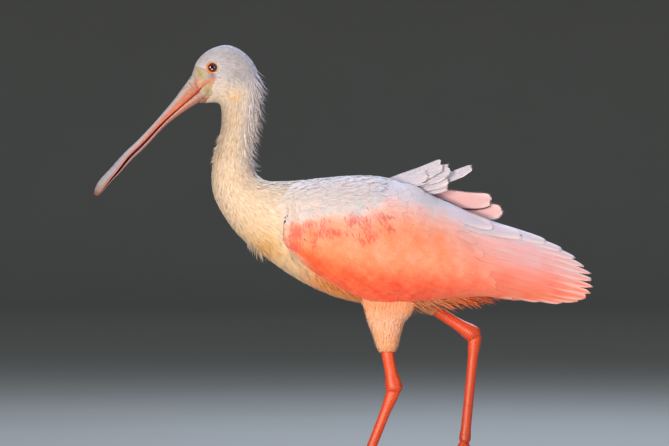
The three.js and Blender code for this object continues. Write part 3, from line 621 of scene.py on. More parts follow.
def spread(surface, first, last, gap_along, gap_around, rng, around=(0, TURN)):
    """Roots in staggered rows between two values of u. The gaps in millimetres may depend on u.
    Where rows crowd together, on the inside of a bend, some roots are left out."""
    found = []
    u = first
    row = 0
    probe = np.linspace(*around, 25)
    while u < last:
        reach_u, reach_v = surface.reach(np.full(len(probe), u), probe)
        run = np.cumsum(np.concatenate([[0], (reach_v[1:] + reach_v[:-1]) / 2 * np.diff(probe)]))
        count = max(int(run[-1] / gap_around(u)), 3)
        share = (np.arange(count) + 0.5 * (row % 2) + rng.uniform(-0.3, 0.3, count)) / count
        v = np.interp(share % 1, run / run[-1], probe)
        step = gap_along(u) / reach_u.max()
        keep = rng.uniform(size=count) < 1.25 * np.interp(v, probe, reach_u) / reach_u.max()
        jitter = rng.uniform(-0.4, 0.4, count) * step
        found.append(np.stack([np.clip(u + jitter, first, last), v], axis=1)[keep])
        u += step
        row += 1
    return np.concatenate(found)


def tips_of(surface, roots, length, lean, last_u=np.inf, last_v=np.inf):
    """The tips of vanes of a length that lie along u, turned towards v by lean, in radians."""
    reach_u, reach_v = surface.reach(roots[:, 0], roots[:, 1])
    step = np.stack([np.cos(lean) * length / reach_u, np.sin(lean) * length / reach_v], axis=1)
    return np.minimum(roots + step, (last_u, last_v))


# Markings: pink, gold, carmine and a fourth, each 0 to 1, from a place on the straight bird. The fourth is a
# cooler pink hue, and on upper parts painted bluish sky light
def at_pixel(x, y):
    """Where a pixel of the photograph lies in the plane of the bird."""
    return (x - AXIS_PIXEL) * PIXEL, (FLOOR_PIXEL - y) * PIXEL


# Ragged carmine dabs along the lesser coverts: centre and half sizes in pixels, and strength
DABS = [
    (298.5, 229.5, 4.5, 4, 0.9),
    (309, 223, 4, 3, 0.85),
    (314, 239, 1.6, 5, 0.8),
    (293, 244, 6, 6, 0.55),
    (330, 231.5, 10, 2.8, 0.85),
    (324, 222, 6, 3, 0.45),
    (355.5, 218.5, 8, 4.5, 1),
    (348.5, 222.5, 4, 2.5, 0.85),
    (378, 217, 9, 2.5, 0.75),
    (370, 234.5, 4, 4.5, 0.8),
    (360, 240, 3.2, 2.6, 0.6),
    (387, 226.5, 4.5, 4, 0.5),
    (366, 226, 8, 4, 0.4),
]


def dabs(place):
    """How thickly the carmine strokes stand at places on the wing, 0 to 1."""
    share = 0 * place[:, 0]
    for centre_x, centre_y, half_x, half_y, strong in DABS:
        px, pz = at_pixel(centre_x, centre_y)
        far = ((place[:, 0] - px) / (half_x * PIXEL)) ** 2 + ((place[:, 2] - pz) / (half_y * PIXEL)) ** 2
        share = np.maximum(share, strong * np.exp(-far * 0.8))
    return share


def markings(place):
    x, z = place[:, 0], place[:, 2]
    low = smooth(z, 330, 225)
    neck = smooth(z, 452, 400) * (1 - 0.8 * smooth(x, -105, -35) * smooth(z, 250, 290))
    hind = smooth(x, -112, -94) * smooth(z, 340, 365)
    gold = 0.05 + 0.38 * neck * (1 - 0.75 * hind) + 0.24 * smooth(z, 330, 250) * smooth(x, 0, -90)
    gold = gold * (1 + 0.35 * ripple(place, 6, 2) * smooth(z, 330, 370))
    px, pz = at_pixel(256, 242)
    gold = gold + 0.26 * bump(np.hypot((x - px) / 1.6, z - pz), 12)
    px, pz = at_pixel(229, 93)
    gold = gold + 0.4 * bump(np.hypot((x - px) / 1.4, z - pz), 6)
    belly = smooth(z, 262, 222) * smooth(x, -75, -10)
    pink = 0.5 * belly + 0.42 * smooth(x, 60, 130) * low
    gold = gold * (1 - 0.5 * smooth(x, 0, 60)) + 0.55 * belly * smooth(x, 170, -20)
    # Painted sky light: crown, hind neck and upper body get a painted bluish-lilac tint
    rose_and_sky_tint = 0.3 * smooth(z, 270, 320) * smooth(x, -70, 10) + 0.3 * hind + 0.5 * smooth(z, 430, 448)
    px, pz = at_pixel(510, 293)
    carmine = 0.7 * bump(np.hypot((x - px) / 1.4, z - pz), 6)
    return np.stack([pink, np.clip(gold, 0, 1), carmine, np.clip(rose_and_sky_tint, 0, 1)], axis=1)


def pale_markings(place):
    marks = markings(place)
    marks[:, 1] *= 0.6
    return marks


def wing_markings(place):
    x, z = place[:, 0], place[:, 2]
    stations = [-60, -13, 27, 66, 105, 144, 184, 224, 262]
    top = np.interp(x, stations, [300, 329, 333, 327, 311, 293, 281, 268, 252])
    bottom = np.interp(x, [-60, -42, -13, 25, 64, 144, 262], [269, 249, 230, 213, 210, 212, 204])
    v = np.clip((top - z) / (top - bottom), 0, 1)
    rear = smooth(x, 80, 190)
    high = smooth(x, 10, 60)
    fore = 0.03 + 0.57 * smooth(v, 0.24 - 0.26 * high, 0.52 - 0.1 * high) + 0.32 * smooth(v, 0.62, 0.92)
    fore = fore * (1 - 0.6 * smooth(z - bottom, 8, 1) * smooth(x, -25, -50))
    fore = fore * (0.4 + 0.6 * smooth(x, -60, -48))
    aft = 0.12 + 0.26 * smooth(v, 0.04, 0.3) + 0.36 * smooth(v, 0.34, 0.72)
    pink = between(fore, aft, rear)
    pink = pink + 0.05 * ripple(place, 26, 3) + 0.05 * ripple(place * np.array([1, 1, 0.35]), 6, 4)
    # Painted sky light: a painted bluish-lilac tint along the wing's upper edge; at the rear this marking is
    # the wing's own cooler pink
    rose_and_sky_tint = between(0.1 + (0.35 + 0.3 * high) * smooth(v, 0.4, 0.0), 0.95 - 0.6 * smooth(v, 0.6, 1), rear)
    gold = 0.12 * smooth(v, 0.4, 0.1) * smooth(x, 40, -40) + 0.14 * smooth(v, 0.5, 0.8) * smooth(x, 80, -20)
    return np.stack([np.clip(pink, 0, 1), gold, 0.36 * dabs(place), np.clip(rose_and_sky_tint, 0, 1)], axis=1)


def stroke_markings(place):
    marks = wing_markings(place)
    marks[:, 2] = 0.62
    return marks


def shoulder_markings(place):
    """Cream on the shoulder, turning to the wing's own colours."""
    share = smooth(place[:, 0], -75, 0)[:, None]
    return between(markings(place), wing_markings(place), share)


def tertial_markings(place):
    """White on the near wing and pinker on the raised feathers of the far one, both with a painted
    bluish-lilac sky light.
    """
    marks = wing_markings(place)
    marks[:, 0] = 0.12 + 0.16 * smooth(place[:, 1], -5, 5) + 0.04 * ripple(place, 14, 6)
    # Painted sky light: a strong bluish-lilac tint over all tertials
    marks[:, 3] = 0.9
    return marks


def mantle_markings(place):
    x, z = place[:, 0], place[:, 2]
    pink = 0.03 + 0.12 * smooth(x, 60, 130) * smooth(z, 345, 315) + 0.03 * ripple(place, 20, 5)
    gold = 0.1 * smooth(x, 60, -40)
    # Painted sky light: the whole mantle gets a painted bluish-lilac tint
    rose_and_sky_tint = 0.9 + 0 * x
    return np.stack([pink, gold, 0 * x, rose_and_sky_tint], axis=1)


def thigh_markings(place):
    x, z = place[:, 0], place[:, 2]
    pink = 0.2 + 0.22 * smooth(z, 195, 215) + 0.4 * smooth(x, 70, 100) + 0.05 * ripple(place, 12, 9)
    gold = 0.36 + 0.2 * smooth(z, 200, 160)
    return np.stack([pink, gold, 0 * x, 0 * x], axis=1)


def tail_markings(place):
    x = place[:, 0]
    pink = 0.62 - 0.15 * smooth(x, 190, 250)
    return np.stack([pink, 0 * x, 0 * x, 0.45 + 0 * x], axis=1)


# Materials
fine_plumage = plumage("fine contour feathers", 5, 0.25)
body_plumage = plumage("loose contour feathers", 7, 0.3)
covert_plumage = plumage("wing covert feathers", 9, 0.35, edge=0.12)
flight_plumage = plumage("flight feathers", 34, 0.3, edge=0.6)


def facial_skin():
    """Bare skin of a wader's face: thin, finely wrinkled and faintly moist, so it has a low broken gloss.
    Yellow-green at the lore, blue-grey under the eye, orange-brown at the gape, dull pink on the throat."""
    material, tree, shader = new_material("bare facial skin")
    face = add(tree, "Attribute", attribute_name="Face")
    down = add(tree, "Attribute", attribute_name="Down").outputs["Fac"]
    parts = add(tree, "SeparateColor", {"Color": face})
    coords = add(tree, "TexCoord").outputs["Object"]
    mottle = add(tree, "TexNoise", {"Vector": coords, "Scale": 420.0, "Detail": 4.0, "Roughness": 0.65})
    pores = add(tree, "TexVoronoi", {"Vector": coords, "Scale": 1500.0})
    colour = add(tree, "Mix", {SHARE: mottle, FIRST: "#a39a92", SECOND: "#bdb3ad"}, **BLEND)
    lore, gape, under_eye = (parts.outputs[k] for k in ("Red", "Green", "Blue"))
    throat = face.outputs["Alpha"]
    tints = [(lore, "#9d8f45"), (under_eye, "#7f8998"), (gape, "#c06a35"), (throat, "#94513c"),
             (down, "#c9c6c8")]
    for share, tint in tints:
        colour = add(tree, "Mix", {SHARE: share, FIRST: colour, SECOND: tint}, **BLEND)
    spots = add(tree, "MapRange", {"Value": mottle, **NOISE_SPAN, "To Min": 0.82, "To Max": 1.08})
    colour = add(tree, "Mix", {SHARE: 1.0, FIRST: colour, SECOND: spots}, **DARKEN)
    grain = add(tree, "Math", {0: pores, 1: mottle}, operation="ADD")
    raised = add(tree, "Bump", {"Height": grain, "Strength": 0.35, "Distance": 0.0003})
    finish = {"Base Color": colour, "Normal": raised, "Roughness": 0.48}
    feed(tree, shader, {**finish, "Subsurface Weight": 0.12, "Subsurface Scale": 0.002})
    return material


def lid_skin():
    """Eyelid rim: thin orange skin over the eye, moist and creased round the ring."""
    material, tree, shader = new_material("orange lid skin")
    ring = add(tree, "SeparateXYZ", {"Vector": add(tree, "UVMap", uv_map="Surface")})
    coords = add(tree, "TexCoord").outputs["Object"]
    noise = add(tree, "TexNoise", {"Vector": coords, "Scale": 900.0, "Detail": 3.0})
    stops = [(0, "#cdbfb4"), (0.15, "#d6bfa6"), (0.3, "#d7a26c"), (0.5, "#e67c35"), (0.68, "#ee8538"),
             (0.85, "#d9ae8e"), (1, "#cdbfb4")]
    around = add(tree, "ValToRGB", {"Fac": ring.outputs["X"]}, stops)
    fold = add(tree, "MapRange", {"Value": noise, **NOISE_SPAN, "To Min": 0.72, "To Max": 1.05})
    colour = add(tree, "Mix", {SHARE: 1.0, FIRST: around, SECOND: fold}, **DARKEN)
    creases = add(tree, "Bump", {"Height": noise, "Strength": 0.4, "Distance": 0.0003})
    feed(tree, shader, {"Base Color": colour, "Normal": creases, "Roughness": 0.35})
    return material


def wet_eye():
    """Eyeball: a clear wet cornea over a deep red iris and a black pupil, so it mirrors the lamps sharply."""
    material, tree, shader = new_material("wet eye")
    far = add(tree, "Attribute", attribute_name="Iris").outputs["Fac"]
    coords = add(tree, "TexCoord").outputs["Object"]
    fibres = add(tree, "TexNoise", {"Vector": coords, "Scale": 1400.0, "Detail": 3.0})
    blur = add(tree, "Math", {0: fibres, 1: 0.07, 2: far}, operation="MULTIPLY_ADD")
    stops = [(0, "#040305"), (0.42, "#060406"), (0.48, "#3a090c"), (0.64, "#6e1113"), (0.8, "#420b0d"),
             (0.9, "#1f0807")]
    iris = add(tree, "ValToRGB", {"Fac": blur}, stops)
    finish = {"Base Color": iris, "Roughness": 0.12, "Specular IOR Level": 0.6}
    feed(tree, shader, {**finish, "Coat Weight": 1.0, "Coat Roughness": 0.02})
    return material


def bill_keratin():
    """Bill sheath: horny keratin grown in lengthwise fibres and worn satin, pink-orange along the sides,
    bluish grey on top and over the spoon, with dark specks near the face and a brown nail at the tip."""
    material, tree, shader = new_material("bill keratin")
    masks = add(tree, "Attribute", attribute_name="Sheath")
    parts = add(tree, "SeparateColor", {"Color": masks})
    ridge, nail, slit = (parts.outputs[k] for k in ("Red", "Green", "Blue"))
    place = add(tree, "SeparateXYZ", {"Vector": add(tree, "UVMap", uv_map="Surface")})
    along = place.outputs["X"]
    stops = [(0, "#a3877a"), (0.09, "#b9806a"), (0.19, "#cc7c5c"), (0.4, "#cc7d6a"), (0.62, "#c98c84"),
             (0.85, "#bd8f88"), (1, "#b0806e")]
    sides = add(tree, "ValToRGB", {"Fac": along}, stops)
    stops = [(0, "#b9b6b4"), (0.3, "#bdb9c0"), (0.7, "#c3bfcb"), (0.92, "#cdc6cb"), (1, "#b58f7e")]
    top = add(tree, "ValToRGB", {"Fac": along}, stops)
    colour = add(tree, "Mix", {SHARE: ridge, FIRST: sides, SECOND: top}, **BLEND)
    coords = add(tree, "TexCoord").outputs["Object"]
    stretch = {"Rotation": (0.0, -0.82, 0.26), "Scale": (1.0, 7.0, 7.0)}
    fibre = add(tree, "Mapping", {"Vector": coords, **stretch})
    lines = add(tree, "TexNoise", {"Vector": fibre, "Scale": 120.0, "Detail": 5.0})
    streak = add(tree, "MapRange", {"Value": lines, **NOISE_SPAN, "To Min": 0.8, "To Max": 1.1})
    colour = add(tree, "Mix", {SHARE: 1.0, FIRST: colour, SECOND: streak}, **DARKEN)
    specks = add(tree, "TexNoise", {"Vector": coords, "Scale": 500.0, "Detail": 2.0})
    dark = add(tree, "MapRange", {"Value": specks, "From Min": 0.56, "From Max": 0.68})
    fleck = add(tree, "Math", {0: dark, 1: masks.outputs["Alpha"]}, operation="MULTIPLY")
    for share, tint in ((fleck, "#7d5138"), (nail, "#a0705a"), (slit, "#a83c26")):
        colour = add(tree, "Mix", {SHARE: share, FIRST: colour, SECOND: tint}, **BLEND)
    raised = add(tree, "Bump", {"Height": lines, "Strength": 0.3, "Distance": 0.0005})
    feed(tree, shader, {"Base Color": colour, "Normal": raised, "Roughness": 0.38})
    return material


def leg_scales():
    """Leg skin: small horny scales over wet orange-red skin, dark in the creases and dusky at the joints."""
    material, tree, shader = new_material("scaled leg skin")
    crease = add(tree, "Attribute", attribute_name="Crease").outputs["Fac"]
    dusk = add(tree, "Attribute", attribute_name="Dusk").outputs["Fac"]
    coords = add(tree, "TexCoord").outputs["Object"]
    cloud = add(tree, "TexNoise", {"Vector": coords, "Scale": 160.0, "Detail": 4.0})
    colour = add(tree, "Mix", {SHARE: cloud, FIRST: "#ec451d", SECOND: "#ff6a30"}, **BLEND)
    # Mottled darker towards the feet, as Dusk grows along each piece
    dusky_mottle = add(tree, "Math", {0: cloud, 1: dusk}, operation="MULTIPLY")
    colour = add(tree, "Mix", {SHARE: dusky_mottle, FIRST: colour, SECOND: "#4a1f1a"}, **BLEND)
    colour = add(tree, "Mix", {SHARE: crease, FIRST: colour, SECOND: "#8c2613"}, **BLEND)
    grain = add(tree, "TexNoise", {"Vector": coords, "Scale": 1800.0, "Detail": 3.0})
    raised = add(tree, "Bump", {"Height": grain, "Strength": 0.25, "Distance": 0.0002})
    feed(tree, shader, {"Base Color": colour, "Normal": raised, "Roughness": 0.4})
    return material


def claw_horn():
    """Claw: dark horn in fine lengthwise layers, worn paler and smooth towards the point."""
    material, tree, shader = new_material("claw horn")
    place = add(tree, "UVMap", uv_map="Surface")
    along = add(tree, "SeparateXYZ", {"Vector": place}).outputs["X"]
    stops = [(0, "#2b211f"), (0.5, "#3a2d2a"), (0.9, "#6b5549"), (1, "#8b7465")]
    shade = add(tree, "ValToRGB", {"Fac": along}, stops)
    stretch = add(tree, "Mapping", {"Vector": place, "Scale": (2.0, 40.0, 1.0)})
    layers = add(tree, "TexNoise", {"Vector": stretch, "Scale": 3.0, "Detail": 3.0})
    colour = add(tree, "Mix", {SHARE: layers, FIRST: shade, SECOND: "#1c1514"}, **BLEND)
    raised = add(tree, "Bump", {"Height": layers, "Strength": 0.3, "Distance": 0.0002})
    feed(tree, shader, {"Base Color": colour, "Normal": raised, "Roughness": 0.35})
    return material


# Face
EYE_SIZE = 7.3
CORNEA = 0.35  # how far the cornea bulges
LID = 5.8
SOCKET = 7.6  # radius of the bare dish round an eye
eye_low, eye_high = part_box("eye_left")
eye_middle = turned(np.array((eye_low + eye_high) / 2) / MM, -1.0)
EYE_X, EYE_Z = eye_middle[0], eye_middle[2]
EYE_Y = abs(eye_middle[1])
GAPE = ((-166, 423.5), (-154, 428.2), (-145.1, 434.6))
# Where the feathers begin behind the bare face, at each height
BARE_EDGE = graph([(412, -145), (418, -144), (424.7, -139.6), (431, -140.5), (437, -137), (442, -134.5),
                   (446, -138), (450, -146), (454, -154), (458, -161), (470, -175)])


def is_bare(place):
    """How many millimetres inside the bare face a place is: lore, eye, gape and throat have no feathers."""
    eye = SOCKET - np.hypot(place[:, 0] - EYE_X, place[:, 2] - EYE_Z)
    return np.maximum(BARE_EDGE(place[:, 2]) - place[:, 0], eye)


def to_line(x, z, points):
    """How far a side view's place is from a chain of points, and how far along the chain it lies, 0 to 1."""
    best = np.full(len(x), 1e9)
    along = np.zeros(len(x))
    spans = len(points) - 1
    for k, ((x0, z0), (x1, z1)) in enumerate(zip(points, points[1:])):
        t = np.clip(((x - x0) * (x1 - x0) + (z - z0) * (z1 - z0)) / ((x1 - x0) ** 2 + (z1 - z0) ** 2), 0, 1)
        far = np.hypot(x - x0 - t * (x1 - x0), z - z0 - t * (z1 - z0))
        along = np.where(far < best, (k + t) / spans, along)
        best = np.minimum(best, far)
    return best, along


def face_relief(place):
    """How far the bare face stands in from the flesh: the mouth's groove, throat folds and wrinkles."""
    x, z = place[..., 0], place[..., 2]
    flat = place.reshape(-1, 3)
    bare = smooth(is_bare(flat), -1.5, 1.5).reshape(x.shape)
    groove, _ = to_line(x.ravel(), z.ravel(), GAPE)
    fold, _ = to_line(x.ravel(), z.ravel(), ((-144, 432), (-143.5, 425), (-149, 417.5)))
    under = np.hypot(x - EYE_X, z - EYE_Z)
    relief = 1.1 * bump(groove.reshape(x.shape), 1.1) + 0.6 * bump(fold.reshape(x.shape), 1.3)
    wrinkle = ripple(flat * np.array([1, 1, 1.6]), 2.6, 31).reshape(x.shape)
    pleats = 0.16 * np.sin(0.9 * (x + 0.9 * z)) * smooth(z, 428, 421)
    crease = 0.35 * bump(under - 9.3, 0.9) * smooth(x, EYE_X - 4, EYE_X + 3)
    return (relief + 0.16 * wrinkle + pleats + crease) * bare


def socketed(place, share):
    """Sinks the skin round each eye into a dish that the lids sit on."""
    far = np.hypot(place[..., 0] - EYE_X, place[..., 2] - EYE_Z)
    aside = np.abs(place[..., 1])
    floor = EYE_Y + 2.2 + 2.9 * smooth(far, 4.2, SOCKET - 1)
    sunk = np.minimum(aside, between(floor, 60, smooth(far, SOCKET - 1, SOCKET)))
    y = np.sign(place[..., 1]) * np.where((aside > EYE_Y) & (far < SOCKET), sunk, aside)
    return turned(np.stack([place[..., 0], y, place[..., 2]], axis=-1), share)


HEAD_RIBS = 8.5
COAT_DEPTH = graph([(0, 0.1), (2, 0.5), (4, 1.2), (8, 1.8), (13, 2.6), (17, 3.4), (25, 3.4)])


def build_skin():
    """One skin from the face to the vent, bare in front of the eye and downy under the feathers.
    The first half of its rows goes to the head, where its relief is fine."""

    def place(along, across):
        behind = HEAD_RIBS + (along - 0.5) / 0.5 * (SPANS - HEAD_RIBS)
        rib = np.where(along < 0.5, along / 0.5 * HEAD_RIBS, behind)
        angle = across * TURN
        ring = capped(along)
        spot = straight_body(rib, angle)
        bare = smooth(is_bare(spot), -2.5, 2.5)
        grow = -COAT_DEPTH(rib) * (1 - bare) - 0.25 * bare - face_relief(spot)
        return socketed(straight_body(rib, angle, grow, ring), 1 - smooth(rib, HEAD_WHOLE, NECK_STILL))

    mesh = finished(sheet(280, 150, place), "skin")
    spots = points_of(mesh)
    head = spots[:, 2] > 395
    spots[head] = turned(spots[head], -1.0)
    x, z = spots[:, 0], spots[:, 2]
    mark_skin(mesh, markings(spots), -0.4)
    gape, along = to_line(x, z, ((-160, 431), (-152, 433), (-141, 438.5)))
    lore = bump(np.hypot(x + 152.5, (z - 444.5) / 1.3), 5)
    lore = lore + 0.9 * bump(np.hypot(x + 145, (z - 428) / 1.3), 5.5)
    under_eye = bump(np.hypot((x - EYE_X + 1) / 1.5, z - EYE_Z + 9), 3.6)
    throat = smooth(z, 426, 418) * smooth(x, -133, -138)
    mottle = 0.75 + 0.35 * ripple(spots, 5, 41)
    orange = np.maximum(bump(gape, 3.4), smooth(x, -150, -156) * smooth(z, 443, 437) * 0.85)
    set_masks(mesh, "Face", [lore * mottle, orange * mottle, under_eye, throat * mottle])
    down = 0.8 * smooth(is_bare(spots), 4.5, 0.5) * smooth(z, 432, 442)
    set_value(mesh, "Down", down + 0.5 * smooth(x, -152, -160) * smooth(z, 440, 446))
    covered = ("head", "neck_upper", "neck_lower", "torso")
    show("skin", mesh, [body_plumage, facial_skin()], covered)
    bare = (is_bare(spots) > 0.3) & (z > 411)
    for face in mesh.polygons:
        face.material_index = int(bare[face.vertices[0]] and bare[face.vertices[2]])


def build_eye(name, side):
    """The eyeball, with its cornea bulging over the iris, and the ring of lids round it."""
    out = np.array([0, side, 0])
    centre = np.array([EYE_X, side * EYE_Y, EYE_Z])

    def ball(along, across):
        tilt = along * math.pi
        around = across * TURN
        radius = EYE_SIZE - CORNEA + CORNEA * smooth(np.cos(tilt), 0.72, 0.95)
        wide = np.sin(tilt)
        facing = np.stack([np.cos(around) * wide, side * np.cos(tilt), np.sin(around) * wide], axis=-1)
        return turned(centre + facing * radius[:, None])

    mesh = finished(sheet(40, 48, ball), f"eye_{name}")
    spots = turned(points_of(mesh), -1.0) - centre
    beside = np.linalg.norm(spots - (spots @ out)[:, None] * out, axis=1)
    facing = spots @ out > 0
    set_value(mesh, "Iris", np.where(facing, beside / 5.4, 1.0))
    show(f"eyeball_{name}", mesh, [wet_eye_material], (f"eye_{name}",))

    def lids(along, across):
        a = along * TURN
        b = across * TURN
        thick = 0.95 + 0.25 * np.cos(a - 3.9)
        radius = LID - 0.25 * np.abs(np.sin(a)) + (thick + 0.08 * np.sin(9 * a)) * np.cos(b)
        lift = 5.0 + thick * np.sin(b)
        return turned(centre + np.stack([np.cos(a) * radius, side * lift, np.sin(a) * radius], axis=-1))

    mesh = finished(sheet(72, 14, lids), f"lids_{name}")
    show(f"lids_{name}", mesh, [lid_material])


def build_body_coat():
    """Tiers of small feathers over the flesh, left off the bare face and where the wings hide them."""
    length = graph([(0.5, 3.2), (3, 5), (6, 7), (8.5, 9), (12, 11), (15, 14), (18, 17), (25, 20)])
    width = graph([(0.5, 1.2), (3, 1.6), (6, 1.8), (8.5, 2), (12, 2.5), (15, 3.6), (18, 4.8), (25, 5.4)])
    stretches = [
        # name, first and last rib, plan, material, gap along and around as a share of a feather
        ("head_coat", 0.6, 8.5, LANCE, fine_plumage, 0.3, 0.6),
        ("neck_coat", 8.3, 14.6, WISP, fine_plumage, 0.26, 0.56),
        ("torso_coat", 14.4, 24.6, WISP, body_plumage, 0.235, 0.46),
    ]
    for name, first, last, plan, material, step, pitch in stretches:
        rng = np.random.default_rng(len(name))
        roots = spread(BODY, first, last, lambda u: length(u) * step, lambda u: width(u) * pitch, rng)
        spots = straight_body(roots[:, 0], roots[:, 1])
        keep = (is_bare(spots) < rng.uniform(-0.5, 3, len(spots))) & ~under_wing(spots)
        roots, spots = roots[keep], spots[keep]
        x, z = spots[:, 0], spots[:, 2]
        n = len(roots)
        long = length(roots[:, 0]) * rng.uniform(0.82, 1.15, n)
        tips = tips_of(BODY, roots, long, rng.normal(0, 0.12, n))
        deep = COAT_DEPTH(roots[:, 0])
        coat = Coat()
        tip_height = rng.uniform(-0.4, 0.25, n) * np.minimum(deep, 1.4)
        wide = width(roots[:, 0]) * rng.uniform(0.85, 1.15, n)
        crown = 0.8 * smooth(z, 432, 452) + 0.6 * bump(np.hypot(x + 119, (z - 440) * 1.3), 13)
        shade = crown * smooth(x, -92, -106) + 0.9 * bump(z - 392, 34) * smooth(x, -60, -90)
        mood = rng.uniform(-0.4, 1.0, n) - shade
        streaked = bump(np.hypot(x + 119, (z - 446) * 1.8), 8) * 0.7 + 0.12 * (roots[:, 0] < 11)
        mood = np.where(rng.uniform(size=n) < streaked, rng.uniform(-2.4, -1.2, n), mood)
        coat.lay(BODY, roots, tips, wide, (-deep - 0.6, tip_height), plan, rng, thick=0.25, rise=0.7,
                 tone=mood, bend=rng.normal(0, 0.04, n) * long)
        coat.build(name, material, "pale_plumage", soften=0.9)


def under_wing(place):
    """Whether a place on the flank lies under a folded wing, so that nothing there is seen."""
    x, z = place[:, 0], place[:, 2]
    top = np.interp(x, [-60, -43, -13, 27, 66, 105, 144, 184], [290, 312, 322, 326, 319, 304, 286, 273])
    bottom = np.interp(x, [-60, -42, -13, 25, 64, 184], [280, 258, 238, 221, 218, 216])
    return (x > -28) & (z < top - 22) & (z > bottom + 14)


# The wing's front and lower edge, from the side, where the breast's feathers lap over it
WING_FRONT = ((-55, 296), (-60, 281), (-57, 265), (-42, 249), (-13.1, 230), (24.7, 213))


# Ribs, the angle they stand about and half their spread, count, length, width, height of the tips
TUFTS = {
    "nape_locks": ((6.2, 11.4), 0, 1.1, 150, (15, 23), 3.4, (2, 8)),
    "nape_wisps": ((6.6, 11.8), 0, 1.0, 170, (14, 24), 1.2, (3, 11)),
    "throat_wisps": ((8.8, 11.2), math.pi, 0.8, 130, (9, 13), 1.1, (1, 4)),
    "breast_tuft": ((15.95, 16.6), math.pi, 0.3, 70, (13, 20), 2.4, (1, 9)),
    "vent_fluff": ((20.2, 24.2), math.pi, 1.2, 620, (18, 32), 2.6, (3, 11)),
}
TUFT_LOOKS = {
    "nape_locks": (LANCE, fine_plumage, markings, 0.6),
    "nape_wisps": (WISP, fine_plumage, markings, 0.6),
    "throat_wisps": (WISP, fine_plumage, markings, 0.6),
    "breast_tuft": (WISP, body_plumage, pale_markings, 0.6),
    "vent_fluff": (WISP, body_plumage, markings, 0.2),
}


def build_tufts():
    """Loose wisps that stand out: on the nape, in front of the neck, under the breast and at the vent."""
    for name, (ribs, middle, half, count, long, wide, height) in TUFTS.items():
        plan, material, marks, soften = TUFT_LOOKS[name]
        rng = np.random.default_rng(len(name) + 7)
        rib = rng.uniform(*ribs, count)
        roots = np.stack([rib, rng.uniform(middle - half, middle + half, count)], axis=1)
        length = rng.uniform(*long, count)
        tips = tips_of(BODY, roots, length, rng.normal(0, 0.16, count), last_u=SPANS)
        width = wide * rng.uniform(0.7, 1.3, count)
        high = rng.uniform(*height, count)
        coat = Coat()
        coat.lay(BODY, roots, tips, width, (-COAT_DEPTH(rib) - 0.6, high), plan, rng, marks=marks,
                 thick=0.3, rise=2.0, bend=rng.normal(0, 0.07, count) * length)
        coat.build(name, material, "pale_plumage", soften=soften)


def build_breast_sides():
    """Breast feathers that lap over the wing's front and lower edge."""
    rng = np.random.default_rng(90)
    roots = np.stack([rng.uniform(14, 20.5, 9000), rng.uniform(0.6, TURN - 0.6, 9000)], axis=1)
    spots = straight_body(roots[:, 0], roots[:, 1])
    x, z = spots[:, 0], spots[:, 2]
    beside, _ = to_line(x, z, WING_FRONT)
    keep = (beside < 9) & ((x < -57) | (z < np.interp(x, *np.array(WING_FRONT[2:]).T)))
    roots, z = roots[keep], z[keep]
    n = len(roots)
    long = rng.uniform(9, 15, n)
    tips = tips_of(BODY, roots, long, rng.normal(0, 0.12, n))
    high = rng.uniform(2, 4.5, n) + 3 * smooth(z, 278, 290)
    coat = Coat()
    coat.lay(BODY, roots, tips, rng.uniform(2, 3.4, n), (-3.5, high), WISP, rng, thick=0.25, rise=1.6,
             tone=0.4, bend=rng.normal(0, 0.05, n) * long)
    coat.build("breast_sides", body_plumage, "pale_plumage", soften=0.85)


# Bill
BILL_LINE = [(-146, 0, 433.8), (-158.5, 0, 423), (-171.8, 0, 411.5), (-190.5, 0, 394.6), (-213.9, 0, 370.6),
             (-227.2, 0, 358.6), (-240, 0, 344.8), (-252.9, 0, 331), (-261.5, 0, 317.8)]
bill_line = evened(curve(BILL_LINE))
bill_half = graph([(0, 11), (0.1, 10.2), (0.22, 8.4), (0.38, 6.9), (0.5, 7), (0.6, 8.2), (0.7, 12.2),
                   (0.78, 18), (0.85, 22.4), (0.9, 23.4), (0.94, 21.2), (0.975, 15.5), (0.99, 10.5), (1, 4)])
bill_rise = graph([(0, 17), (0.1, 13.2), (0.22, 8.8), (0.38, 5.2), (0.58, 4.4), (0.8, 3.6), (0.95, 3.2),
                   (1, 1.8)])
bill_drop = graph([(0, 13), (0.1, 9.5), (0.22, 6.2), (0.38, 3.6), (0.58, 3.3), (0.8, 3), (0.95, 2.2),
                   (1, 1.4)])
bill_open = graph([(0, 0.2), (0.22, 0.35), (0.4, 0.9), (0.6, 1.3), (0.8, 1.1), (1, 0.25)])
NOSTRIL = (-162.5, 434.6)


def from_nostril(spots):
    """How far places are from the nostril, from the side, with steps across its slit counted four times."""
    x, z = spots[:, 0] - NOSTRIL[0], spots[:, 2] - NOSTRIL[1]
    return np.hypot(x * 0.65 - z * 0.76, 4 * (x * 0.76 + z * 0.65))


